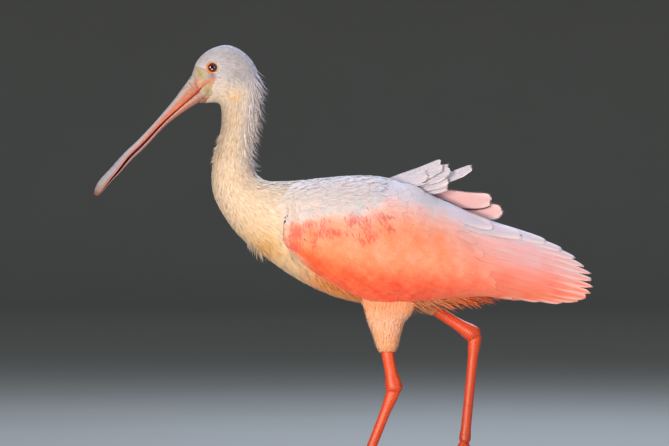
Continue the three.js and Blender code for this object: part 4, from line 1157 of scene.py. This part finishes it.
def build_bill(name, up):
    """One mandible: a half-round rod that flattens into the spoon, with a groove along its side."""
    depth = bill_rise if up > 0 else bill_drop
    share = 1 if up > 0 else 0.94

    def place(t, across):
        angle = across * TURN
        ring = capped(t)
        at = bill_line(t)
        step = 0.01
        ahead = unit(bill_line(np.minimum(t + step, 1)) - bill_line(np.maximum(t - step, 0)))
        normal = np.stack([ahead[:, 2], 0 * t, -ahead[:, 0]], axis=1) * up
        rise = np.maximum(np.sin(angle), 0)
        groove = (0.45 - 0.25 * smooth(t, 0.5, 0.8)) * smooth(t, 0.1, 0.2)
        groove = groove * bump(np.abs(angle - math.pi / 2) - 1.02, 0.09)
        ridges = 0.1 * np.sin(150 * t + 3 * np.cos(angle)) * smooth(t, 0.62, 0.72) * rise
        spoon = 0.9 * (1 - bump(np.cos(angle), 0.45)) * smooth(t, 0.7, 0.85) * rise
        high = bill_open(t) + ring * (rise * depth(t) - (groove + spoon * 0.35) * (rise > 0) + ridges)
        aside = np.cos(angle) * ring * bill_half(t) * share * (1 - 0.006 * np.sin(60 * t))
        spots = at + normal * high[:, None]
        spots[:, 1] = aside
        if up > 0:
            spots[:, 1] *= 1 - 0.16 * bump(from_nostril(spots), 3.6) * (np.abs(spots[:, 1]) > 3)
        return turned(spots)

    mesh = finished(sheet(230, 44, place, weld=5e-6), f"{name}_sheath")
    spots = turned(points_of(mesh), -1.0)
    t, around = grid_of(mesh).T
    upward = np.sin(around * TURN)
    broad = smooth(t, 0.3, 0.75)
    if up > 0:
        top = smooth(upward, between(0.5, 0.35, broad), between(0.86, 0.75, broad))
        inner = smooth(upward, between(0.24, 0.12, broad), 0.04)
    else:
        top = 0.75 * bump(upward - 0.3, 0.2) * smooth(t, 0.02, 0.1) + 0.3 * broad * smooth(upward, 0.3, 0.8)
        inner = smooth(upward, 0.12, 0.02)
    inner = inner * smooth(t, 0.97, 0.9)
    pit = 0.7 * bump(from_nostril(spots), 2.0) * (up > 0) * smooth(np.abs(spots[:, 1]), 2, 4)
    tip = smooth(t, 0.965, 0.995)
    mottle = 0.9 * smooth(t, 0.35, 0.05)
    set_masks(mesh, "Sheath", [top, tip, np.maximum(inner, pit), mottle])
    show(f"{name}_sheath", mesh, [bill_material], (name,))


# Wings
# Each pen's root and tip on the wing's face, and its width. For a tertial, also its tip's lift and its tilt
TERTIALS = {
    LEFT: [((0.4, 0.1), (0.735, 0.03), 22, 0, 0), ((0.42, 0.17), (0.81, 0.04), 22, 0, 0)],
    RIGHT: [
        ((0.45, 0.05), (0.735, -0.02), 15, 23, -0.8),
        ((0.46, 0.09), (0.764, 0.02), 16, 18, -0.8),
        ((0.47, 0.13), (0.742, 0.05), 13, 14, -0.8),
    ],
}
FLIGHT = [
    ((0.46, 0.03), (0.875, 0.04), 20),
    ((0.47, 0.04), (0.935, 0.09), 21),
    ((0.48, 0.06), (0.97, 0.19), 22),
    ((0.49, 0.09), (0.993, 0.34), 22),
    ((0.5, 0.14), (1, 0.52), 22),
    ((0.5, 0.22), (0.996, 0.72), 21),
    ((0.5, 0.34), (0.983, 0.87), 20),
    ((0.5, 0.48), (0.95, 0.96), 19),
    ((0.5, 0.64), (0.88, 0.98), 18),
    ((0.5, 0.8), (0.79, 0.985), 16),
]
PENS = 13  # flight feathers below the tertials
WRIST_DEPTH = 12  # how far the wing's front end reaches in, so that it closes on the breast


def raised_wing(side, start, end, raise_by, tilt):
    """The wing's face bent up along one raised feather: its height grows with the square of its length."""
    face = WINGS[side]
    (u0, v0), (u1, v1) = start, end
    deep = face.reach(np.array([(u0 + u1) / 2]), np.array([0.1]))[1][0]

    def place(u, v):
        t = np.clip((u - u0) / (u1 - u0), 0, 1)
        out = (v - between(v0, v1, t)) * deep * tilt
        lift = np.stack([0 * t, 0 * t, raise_by * t * t], axis=-1)
        return face.place(u, v) + face.normal(u, v) * out[..., None] + lift

    return Surface(place, (0.006, 0.01), side, face.unwrap)


def wing_lean(roots):
    """How far coverts turn down from the wing's length, in radians: steep in front, level along its edges."""
    u, v = roots[:, 0], roots[:, 1]
    return (1.05 - 0.6 * smooth(u, 0.12, 0.5)) * smooth(v, -0.02, 0.25) * (1 - 0.95 * smooth(v, 0.7, 1.0))


def covert_height(roots):
    """How high over the wing's face coverts end: proud in front, and low over the flight feathers."""
    u, v = roots[:, 0], roots[:, 1]
    return between(0.5, -0.1 - 2.2 * v, smooth(u, 0.36, 0.56))


def build_arm(name, side):
    """The skin under a folded wing's feathers, whose front end reaches in to the breast."""
    wing = WINGS[side]

    def shell(along, across):
        u = 0.012 + along * 0.7
        v = 1 - np.abs(2 * across - 1)
        outer = across < 0.5
        pinch = np.sqrt(np.sin(np.clip(v, 0, 1) * math.pi)) * np.sqrt(np.sin(np.clip(along, 0, 1) * math.pi))
        deep = between(1.5, 4.8, smooth(u, 0.36, 0.6)) + np.where(outer, 0.0, 4.0) * pinch
        inward = WRIST_DEPTH * smooth(along, 0, 0.03) * smooth(u, 0.3, 0.1)
        inward = inward * np.sin(np.clip(v, 0, 1) * math.pi) ** 0.3
        spots = wing.place(u, v) - wing.normal(u, v) * deep[:, None]
        spots[:, 1] -= np.where(outer, 0.0, side * inward)
        return spots

    mesh = finished(sheet(60, 60, shell), f"wing_{name}_arm")
    mark_skin(mesh, wing_markings(points_of(mesh)), -0.3)
    show(f"wing_{name}_arm", mesh, [body_plumage], (f"wing_{name}",))


def build_flight(name, side, rng):
    """The tertials, some of them raised, and the long pens below them."""
    wing = WINGS[side]
    pens = Coat()
    index = np.linspace(0, len(FLIGHT) - 1, PENS)
    rows = np.array([[*start, *end, width] for start, end, width in FLIGHT])
    fine = np.stack([np.interp(index, range(len(FLIGHT)), column) for column in rows.T], axis=1)
    cells = iter(0.04 + 0.055 * np.arange(PENS + 3))
    for k, (start, end, width, lift, tilt) in enumerate(TERTIALS[side]):
        surface = raised_wing(side, start, end, lift, tilt)
        pens.lay_pen(surface, start, end, width * (1.5 if lift else 1.1), (-2.2, 0.8 - k * 0.2), rng,
                     (next(cells), 0.08), marks=tertial_markings, tone=0.25, notch=2.5)
    for k, (u0, v0, u1, v1, width) in enumerate(fine):
        height = (-1.6 - 0.12 * k, 0.4 - 0.22 * k)
        pens.lay_pen(wing, (u0, v0), (u1, v1), width * rng.uniform(1.05, 1.3), height, rng,
                     (next(cells), 0.08), rise=0.6, marks=wing_markings, tone=0.35, thick=0.3, notch=3)
    pens.build(f"wing_{name}_flight", flight_plumage, "pink_plumage", soften=0.45)


def build_coverts(name, side, rng):
    """The big coverts over the pens' roots."""
    wing = WINGS[side]
    coverts = Coat()
    length = graph([(0.1, 17), (0.25, 24), (0.4, 33), (0.7, 42)])
    width = graph([(0.1, 7), (0.25, 10), (0.4, 13), (0.7, 15)])
    roots = spread(wing, 0.1, 0.7, lambda u: length(u) * 0.16, lambda u: width(u) * 0.42, rng, (0.0, 1.0))
    roots = roots[roots[:, 0] < 0.58 + 0.1 * roots[:, 1] + rng.uniform(-0.03, 0.03, len(roots))]
    n = len(roots)
    long = length(roots[:, 0]) * rng.uniform(0.9, 1.1, n)
    tips = tips_of(wing, roots, long, wing_lean(roots) + rng.normal(0, 0.05, n), last_v=1.0)
    high = covert_height(roots) + rng.uniform(-0.15, 0.15, n)
    wide = width(roots[:, 0]) * rng.uniform(0.9, 1.1, n)
    coverts.lay(wing, roots, tips, wide, (high - 1.3, high), COVERT, rng, marks=wing_markings, by_root=False,
                tone=0.3, thick=0.3, ragged=0.02, rise=0.7)
    coverts.build(f"wing_{name}_coverts", covert_plumage, "pink_plumage", soften=0.85)


def build_lesser(name, side, rng):
    """The small coverts in front, and carmine wisps over them where the strokes are."""
    wing = WINGS[side]
    lesser = Coat()
    length = graph([(0, 7), (0.06, 9), (0.2, 12), (0.44, 15)])
    width = graph([(0, 1.7), (0.06, 2), (0.2, 2.6), (0.44, 3.2)])
    roots = spread(wing, 0.0, 0.24, lambda u: length(u) * 0.24, lambda u: width(u) * 0.5, rng, (-0.03, 1.0))
    thin = spread(wing, 0.24, 0.5, lambda u: length(u) * 0.4, lambda u: width(u) * 1.1, rng, (0.0, 1.0))
    roots = np.concatenate([roots, thin])
    n = len(roots)
    long = length(roots[:, 0]) * rng.uniform(0.8, 1.2, n)
    tips = tips_of(wing, roots, long, wing_lean(roots) + rng.normal(0, 0.14, n), last_v=1.01)
    high = covert_height(roots) + rng.uniform(0.2, 0.7, n)
    wide = width(roots[:, 0]) * rng.uniform(0.7, 1.15, n)
    lesser.lay(wing, roots, tips, wide, (high - 1.8, high), WISP, rng, marks=wing_markings, by_root=False,
               tone=0.7, thick=0.22, rise=0.7, bend=rng.normal(0, 0.05, n) * long)
    spots = np.stack([rng.uniform(0.0, 0.48, 6400), rng.uniform(0.02, 0.75, 6400)], axis=1)
    roots = spots[rng.uniform(size=len(spots)) < dabs(wing.place(*spots.T)) * 0.8]
    n = len(roots)
    long = rng.uniform(4, 8, n)
    tips = tips_of(wing, roots, long, wing_lean(roots) + 0.6 + rng.normal(0, 0.2, n))
    lesser.lay(wing, roots, tips, rng.uniform(0.8, 1.3, n), (0.5, rng.uniform(1.0, 1.4, n)), WISP, rng,
               marks=stroke_markings, tone=0.4, thick=0.2, rise=0.7, bend=rng.normal(0, 0.06, n) * long)
    lesser.build(f"wing_{name}_lesser", body_plumage, "pink_plumage", soften=0.85)


def build_wing(name, side):
    rng = np.random.default_rng(40 + side)
    build_arm(name, side)
    for build in (build_flight, build_coverts, build_lesser):
        build(name, side, rng)


# Back, raised scapulars and tail
SADDLE = limb([(-40, 0, 327), (0, 0, 329.5), (40, 0, 330.5), (75, 0, 323), (104, 0, 309)],
              [(0, 2), (0.3, 5), (0.75, 5), (1, 2)], [(0, 10), (0.25, 15), (0.5, 13), (0.75, 10), (1, 4)])
SCAPULARS = [
    ((30, -3, 327), (90, -6.2, 335), 16),
    ((34, -1, 327), (106, -5.6, 346), 17),
    ((38, 0, 327), (113, -5, 340), 18),
    ((42, 1, 326), (112, -4.4, 332), 18),
    ((52, 2, 325), (111, -3.8, 325.5), 16),
    ((66, 2, 325), (137, 0, 342.5), 11),
]
CURL = 5  # how far the tips of these turn up


def shoulder(side):
    """The face that carries the back's feathers over a wing's upper edge: v runs down from the back."""
    rib, angle = np.meshgrid(np.linspace(13, 21, 240), np.linspace(0, math.pi, 160))
    flank = body(rib.ravel(), angle.ravel())
    rim = []
    for u in np.linspace(0, 0.5, 11):
        top = wing_edges[0](u)
        want = top + unit(np.array([top[0] + 10, 0, top[2] - 275])) * 15
        rim.append(flank[np.argmin(np.hypot(flank[:, 0] - want[0], flank[:, 2] - want[2]))])
    rim = curve(rim)
    wing = WINGS[side]

    def place(u, v):
        u = np.asarray(u)
        v = np.asarray(v, float)[..., None]
        back = rim(u / 0.5) * np.array([1, side, 1])
        crest = wing.place(u, 0 * u) + np.array([0, side * 1.5, 1])
        down = 0 * u + 0.22
        low = wing.place(u, down) + wing.normal(u, down) * 0.4
        return back * (1 - v) * (1 - 2 * v) + crest * 4 * v * (1 - v) + low * v * (2 * v - 1)

    return Surface(place, (0.006, 0.03), side, lambda u, v: (0.02 + 1.9 * u, 0.02 + 0.03 * v))


def build_scapulars(rng):
    """The raised scapulars with the down on them."""
    raised = Coat()
    barbs = Coat()
    for k, (start, end, width) in enumerate(SCAPULARS):
        surface = ribbon(start, end, (0, 0.35, 0.94), droop=-3.5, home=0.06 + 0.06 * k)
        raised.lay_pen(surface, (0, 0), (1, 0), width, (-0.3, 0.3), rng, (0.06 + 0.06 * k, 0.9), bend=CURL,
                       marks=mantle_markings, tone=0.15, notch=4.0)
        n = 90
        along = rng.uniform(0, 0.76, n)
        roots = np.stack([along, rng.uniform(-0.4, 0.4, n) * width * full_vane(along)], axis=1)
        tips = tips_of(surface, roots, rng.uniform(14, 22, n), rng.normal(0, 0.07, n), last_u=0.99)
        roots[:, 1] += CURL * roots[:, 0] ** 2
        tips[:, 1] += CURL * tips[:, 0] ** 2
        barbs.lay(surface, roots, tips, rng.uniform(2.5, 4, n), (-0.1, rng.uniform(0.4, 0.8, n)), WISP, rng,
                  marks=mantle_markings, by_root=False, tone=0.3, thick=0.22)
    raised.build("scapulars_raised", flight_plumage, "pale_plumage", ("mantle",), soften=0.5)
    barbs.build("scapulars_down", body_plumage, "pale_plumage", soften=0.9)


def build_back(rng):
    """The coat of the back and both shoulders."""
    back = Coat()
    surface = limb_surface(SADDLE)
    upper = (math.pi - 1.5, math.pi + 1.5)
    roots = spread(surface, 0.02, 0.86, lambda u: 4.0, lambda u: 3.2, rng, upper)
    n = len(roots)
    tips = tips_of(surface, roots, rng.uniform(18, 26, n), rng.normal(0, 0.08, n), last_u=1.0)
    back.lay(surface, roots, tips, rng.uniform(5, 7.5, n), (-1.4, rng.uniform(0.2, 0.6, n)), WISP, rng,
             marks=mantle_markings, tone=0.4, thick=0.25, rise=0.8)
    for side in (LEFT, RIGHT):
        surface = shoulder(side)
        roots = spread(surface, 0.02, 0.42, lambda u: 3.6, lambda u: 3.4, rng, (0.0, 0.92))
        roots = roots[roots[:, 1] < 0.55 + 0.37 * smooth(roots[:, 0], 0.03, 0.13)]
        n = len(roots)
        lean = 1.35 * smooth(roots[:, 0], 0.26, 0.0) + 0.12
        long = rng.uniform(15, 22, n)
        tips = tips_of(surface, roots, long, lean + rng.normal(0, 0.1, n))
        tips = np.clip(tips, roots - 0.05, (0.5, 1.08))
        high = rng.uniform(0.3, 0.8, n) - 0.9 * smooth(tips[:, 1], 0.75, 1.05)
        high = high - 0.7 * smooth(tips[:, 0], 0.38, 0.5)
        back.lay(surface, roots, tips, rng.uniform(3.5, 5.5, n), (-1.4, high), WISP, rng,
                 marks=shoulder_markings, by_root=False, tone=0.4, thick=0.25, rise=0.8)
    back.build("mantle_coat", body_plumage, "pale_plumage", soften=0.92)


TAIL_PENS = 12


def build_tail():
    """A short fan of pens under the wings' tips, and the coverts over their roots."""
    rng = np.random.default_rng(70)
    path = [(160, 0, 240), (182, 0, 236), (200, 0, 231)]
    root = limb(path, [(0, 15), (0.5, 12), (1, 4)], [(0, 15), (0.5, 14), (1, 9)])

    def place(along, across):
        return root(along, across * TURN, -1.0, capped(along))

    mesh = finished(sheet(30, 40, place), "tail_root")
    mark_skin(mesh, tail_markings(points_of(mesh)), -0.2)
    show("tail_root", mesh, [body_plumage], ("tail",))
    pens = Coat()
    for i in range(TAIL_PENS):
        k = i / (TAIL_PENS - 1) * 2 - 1
        rise = (1 - abs(k)) * 5
        start, end = (182, k * 6.5, 233 + rise * 0.4), (254 - 7 * k * k, k * 8.5, 212 + rise)
        surface = ribbon(start, end, (0, 1, 0), tilt=-0.14 * np.sign(k))
        pens.lay_pen(surface, (0, 0), (1, 0), 10, (-0.2, 0.2), rng, (0.06 + 0.06 * i, 0.5),
                     marks=tail_markings, tone=0.3, thick=0.3, notch=2.0)
    pens.build("tail_pens", flight_plumage, "pink_plumage", soften=0.4)
    cover = Coat()
    surface = limb_surface(root)
    roots = spread(surface, 0.02, 0.9, lambda u: 5.0, lambda u: 3.6, rng)
    n = len(roots)
    tips = tips_of(surface, roots, rng.uniform(18, 26, n), rng.normal(0, 0.12, n), last_u=1.0)
    cover.lay(surface, roots, tips, rng.uniform(6, 9, n), (-1.5, rng.uniform(0.5, 2.5, n)), ROUND, rng,
              marks=tail_markings, tone=0.4, thick=0.3)
    cover.build("tail_coverts", body_plumage, "pink_plumage", soften=0.8)


# Legs
FOOT_RISE = 7
NEAR = {
    "hock": (54, -26, 116),
    "foot": (11, -26, FOOT_RISE),
    "thigh": [(48, -12, 245), (47.7, -15, 205), (45.7, -20, 187), (46.2, -23.5, 172), (46.8, -26, 154)],
    "depth": [(0, 38), (0.44, 28.5), (0.64, 20), (0.8, 14.8), (0.94, 11), (1, 7.5)],
    "width": [(0, 10), (0.4, 11), (0.6, 13), (0.8, 12), (0.94, 9.5), (1, 6.5)],
}
FAR = {
    "hock": (140.2, 27, 170.6),
    "foot": (129, 27, 56.5),
    "thigh": [(40, 12, 245), (68, 16, 222), (84, 20, 209), (98.5, 25, 197.5)],
    "depth": [(0, 26), (0.45, 18), (0.72, 12), (0.94, 8.6), (1, 7.2)],
    "width": [(0, 10), (0.45, 11), (0.72, 10), (0.94, 8), (1, 6.4)],
}
SHANK_DEPTH = [(0, 6.5), (0.55, 6.5), (0.86, 9), (0.97, 6.75), (1, 3)]
SHANK_WIDTH = [(0, 5.2), (0.55, 5.2), (0.86, 7.6), (0.97, 5.3), (1, 3)]
TARSUS_DEPTH = [(0, 7.2), (0.1, 6.6), (0.22, 5.4), (0.85, 5.4), (0.96, 6.2), (1, 4.5)]
TARSUS_WIDTH = [(0, 5.6), (0.1, 5.4), (0.22, 4.6), (0.85, 4.6), (0.96, 6.4), (1, 5)]
TOE_RADIUS = [(0, 5), (0.2, 4.3), (0.5, 3.7), (0.8, 3.2), (1, 2.7)]
NEAR_TOES = {"inner": (27, 52), "middle": (0, 72), "outer": (-27, 60), "hind": (172, 24)}
FAR_TOES = {"inner": (-15, 44), "middle": (0, 57), "outer": (15, 47)}


def near_toe(turn, length):
    angle = math.radians(turn)
    x, y, z = NEAR["foot"]

    def away(d, height):
        return (x - math.cos(angle) * d, y + math.sin(angle) * d, height)

    return [(x, y, z), away(length * 0.33, 4.6), away(length * 0.66, 3.4), away(length, 2.3)]


def far_toe(aside, reach):
    x, y, z = FAR["foot"]

    def point(share, height):
        return (x - reach * share, y + aside * math.sqrt(share), height)

    return [(x, y, z), point(0.26, z * 0.62), point(0.52, z * 0.27), point(0.76, 4), point(1, 2.4)]


def hexagons(along, around, cell):
    """A relief of small six-sided scales, from 0 in the creases to 1 on the scales."""
    waves = 0
    for k in range(3):
        angle = k * math.pi / 3
        waves = waves + np.cos((along * math.cos(angle) + around * math.sin(angle)) * TURN / cell)
    return smooth(waves, -1.4, 0.4)


def scaled_limb(name, points, depth, width, cell, replaced, dusk, bands=0.0):
    """A bare limb with scales raised over it, or with broad bands across its front where bands is above 0.
    dusk is how dark its ends are."""
    place = limb(points, depth, width)
    length = float(np.linalg.norm(np.diff(np.array(points, float), axis=0), axis=1).sum())
    girth = TURN * (depth[len(depth) // 2][1] + width[len(width) // 2][1]) / 2
    count = max(round(girth / cell), 4)

    def relief(along, across):
        small = hexagons(along * length, across * count * cell, cell)
        front = smooth(np.cos(across * TURN), -0.1, 0.5) * bands
        plate = smooth(np.abs(np.sin(along * length * math.pi / (cell * 1.3))), 0.05, 0.4)
        return between(small, plate, front)

    def at(along, across):
        return place(along, across * TURN, 0.3 * relief(along, across) - 0.3, capped(along))

    mesh = finished(sheet(int(length / 0.8), 40, at, weld=1e-6), name)
    uv = grid_of(mesh)
    set_value(mesh, "Crease", 0.75 * (1 - relief(uv[:, 0], uv[:, 1])))
    set_value(mesh, "Dusk", between(*dusk, uv[:, 0]))
    show(name, mesh, [leg_material], replaced)


def build_claw(name, path):
    line = evened(curve(path))
    at, before = line(1.0), line(0.98)
    ahead = unit(at - before)
    reach = 8.0
    tip = at + ahead * reach
    tip[2] = max(tip[2] - 1.5, 0.35)
    middle = at + ahead * reach * 0.5 + np.array([0, 0, 0.5])
    shape = limb([at - ahead * 1.5, at, middle, tip], [(0, 2.3), (0.3, 2.1), (0.7, 1.25), (1, 0.3)],
                 [(0, 2.3), (0.3, 1.9), (0.7, 1.05), (1, 0.3)])

    def place(along, across):
        return shape(along, across * TURN, 0.0, capped(along))

    mesh = finished(sheet(30, 20, place, weld=1e-6), name)
    show(f"{name}_horn", mesh, [claw_material], (name,))


def build_web(name, path_a, path_b):
    """The small web between two toes, over the first part of their length."""
    a, b = evened(curve(path_a)), evened(curve(path_b))

    def place(along, across):
        side = np.where(across < 0.5, 1, -1)
        w = 1 - np.abs(2 * across - 1)
        t = 0.04 + along * (0.3 + 0.12 * (2 * w - 1) ** 2)
        spot = between(a(t), b(t), w[:, None])
        pinch = np.sin(w * math.pi) * np.sin(np.clip(along, 0, 1) * math.pi * 0.5 + 0.2)
        spot[:, 2] += side * 0.55 * pinch * np.sin(along * math.pi) - 0.4
        return spot

    mesh = finished(sheet(24, 36, place, weld=1e-6), name)
    set_value(mesh, "Crease", np.zeros(len(mesh.vertices)))
    set_value(mesh, "Dusk", np.full(len(mesh.vertices), 0.8))
    show(name, mesh, [leg_material])


def build_leg(name, leg, toes, hind):
    """A leg from the feathered thigh to the claws. hind is how thick the hind toe is beside the others."""
    thigh = limb(leg["thigh"], leg["depth"], leg["width"])

    def place(along, across):
        return thigh(along, across * TURN, -1.5 - smooth(along, 1, 0.6), capped(along))

    mesh = finished(sheet(60, 56, place), f"thigh_{name}_skin")
    mark_skin(mesh, thigh_markings(points_of(mesh)), -0.3)
    show(f"thigh_{name}_skin", mesh, [fine_plumage], (f"thigh_{name}",))
    rng = np.random.default_rng(len(name) + 80)
    surface = limb_surface(thigh)
    coat = Coat()
    size = graph([(0.1, 13), (0.6, 10), (1, 6)])
    roots = spread(surface, 0.12, 0.95, lambda u: size(u) * 0.24, lambda u: size(u) * 0.17, rng)
    n = len(roots)
    long = size(roots[:, 0]) * rng.uniform(0.85, 1.2, n)
    tips = tips_of(surface, roots, long, rng.normal(0, 0.14, n), last_u=1.0)
    wide = size(roots[:, 0]) * 0.32 * rng.uniform(0.8, 1.2, n)
    coat.lay(surface, roots, tips, wide, (-3.0, rng.uniform(-0.3, 0.7, n)), WISP, rng, marks=thigh_markings,
             tone=0.4, thick=0.28, rise=0.8, bend=rng.normal(0, 0.05, n) * long)
    coat.build(f"thigh_{name}_coat", fine_plumage, "pale_plumage", soften=0.8)

    knee, end = np.array(leg["thigh"][-2], float), np.array(leg["thigh"][-1], float)
    hock = np.array(leg["hock"], float)
    beyond = hock + unit(hock - end) * 5
    inside = between(end, knee, 0.35)
    scaled_limb(f"shank_{name}_scales", [inside, end, hock, beyond], SHANK_DEPTH, SHANK_WIDTH, 2.6,
                (f"shank_{name}",), (0.0, 0.55))
    scaled_limb(f"tarsus_{name}_scales", [leg["hock"], leg["foot"]], TARSUS_DEPTH, TARSUS_WIDTH, 2.4,
                (f"tarsus_{name}",), (0.35, 0.9))
    for key, path in toes.items():
        thick = hind if key == "hind" else 1
        sizes = [(t, r * thick) for t, r in TOE_RADIUS]
        replaced = (f"foot_{name}",) if key == "middle" else ()
        scaled_limb(f"toe_{name}_{key}", path, sizes, sizes, 2.0, replaced, (0.9, 1.3), bands=0.9)
        build_claw(f"claw_{name}_{key}", path)
    build_web(f"web_{name}_inner", toes["inner"], toes["middle"])
    build_web(f"web_{name}_outer", toes["middle"], toes["outer"])


lid_material = lid_skin()
wet_eye_material = wet_eye()
bill_material = bill_keratin()
leg_material = leg_scales()
claw_material = claw_horn()

build_skin()
build_body_coat()
build_tufts()
build_breast_sides()
for side_name, side in SIDES:
    build_eye(side_name, side)
    build_wing(side_name, side)
build_bill("bill_upper", 1)
build_bill("bill_lower", -1)
mantle_rng = np.random.default_rng(60)
build_scapulars(mantle_rng)
build_back(mantle_rng)
build_tail()
build_leg("left", NEAR, {key: near_toe(*toe) for key, toe in NEAR_TOES.items()}, 0.85)
far_toes = {key: far_toe(*toe) for key, toe in FAR_TOES.items()}
far_x, far_y, _ = FAR["foot"]
far_toes["hind"] = [FAR["foot"], (far_x + 7, far_y + 1, 46), (far_x + 11, far_y + 1, 34)]
build_leg("right", FAR, far_toes, 0.8)


# Studio: a round pale cove, a soft warm key, a cool top light and a wide fill
def build_stage():
    bm = bmesh.new()
    outline = [(0, 0, 0)]
    reach, rise, steps = 9.0, 1.6, 8
    for k in range(steps + 1):
        a = k / steps * math.pi / 2
        outline.append((reach + rise * math.sin(a), 0, rise * (1 - math.cos(a))))
    outline.append((reach + rise, 0, 5.5))
    verts = [bm.verts.new(p) for p in outline]
    edges = [bm.edges.new(pair) for pair in zip(verts, verts[1:])]
    bmesh.ops.spin(bm, geom=verts + edges, cent=(0, 0, 0), axis=(0, 0, 1), angle=TURN, steps=64,
                   use_merge=True)
    bmesh.ops.remove_doubles(bm, verts=bm.verts, dist=1e-4)
    bmesh.ops.recalc_face_normals(bm, faces=bm.faces)
    mesh = finished(bm, "floor")
    material, tree, shader = new_material("seamless studio paper")
    coords = add(tree, "TexCoord").outputs["Object"]
    grain = add(tree, "TexNoise", {"Vector": coords, "Scale": 3.0, "Detail": 3.0})
    tint = add(tree, "Mix", {SHARE: grain, FIRST: "#8b8e8a", SECOND: "#919490"}, **BLEND)
    feed(tree, shader, {"Base Color": tint, "Roughness": 0.9})
    floor = bpy.data.objects.new("floor", mesh)
    mesh.materials.append(material)
    bpy.context.scene.collection.objects.link(floor)


def soft_light(name, place, aim, size, power, colour):
    light = bpy.data.lights.new(name, "AREA")
    light.shape = "DISK"
    light.size = size
    light.energy = power
    light.color = linear(colour)[:3]
    lamp = bpy.data.objects.new(name, light)
    bpy.context.scene.collection.objects.link(lamp)
    lamp.location = place
    away = lamp.location - Vector(aim)
    lamp.rotation_mode = "QUATERNION"
    lamp.rotation_quaternion = away.to_track_quat("Z", "Y")


def build_studio():
    build_stage()
    middle = (0.0, 0.0, 0.28)
    soft_light("key", (-1.5, -2.4, 0.72), middle, 1.2, 71, "#ffeedd")
    soft_light("bounce", (0.0, -0.75, 0.12), (0.05, 0.0, 0.24), 0.2, 2.9, "#ffe2cc")
    soft_light("sky", (0.4, 1.1, 2.0), middle, 1.8, 64, "#dbe6ff")
    soft_light("fill", (2.2, -2.0, 0.9), middle, 1.8, 16, "#fff1e4")
    world = bpy.data.worlds.new("studio air")
    world.use_nodes = True
    world.node_tree.nodes["Background"].inputs["Color"].default_value = linear("#dfe3ea")
    world.node_tree.nodes["Background"].inputs["Strength"].default_value = 0.32
    bpy.context.scene.world = world
    bpy.context.scene.view_settings.view_transform = "Standard"


def build_camera():
    """A long lens level with the bird's flank, as far away as makes the frame as wide as the photograph's."""
    lens = bpy.data.cameras.new("camera")
    lens.lens = 200
    lens.sensor_width = 36
    centre_x, centre_z = at_pixel(FRAME_WIDE / 2, FRAME_HIGH / 2)
    away = FRAME_WIDE * PIXEL * lens.lens / lens.sensor_width
    camera = bpy.data.objects.new("camera", lens)
    camera.location = (centre_x * MM, -away * MM, centre_z * MM)
    camera.rotation_euler = (math.pi / 2, 0, 0)
    bpy.context.scene.collection.objects.link(camera)
    bpy.context.scene.camera = camera


build_studio()
build_camera()
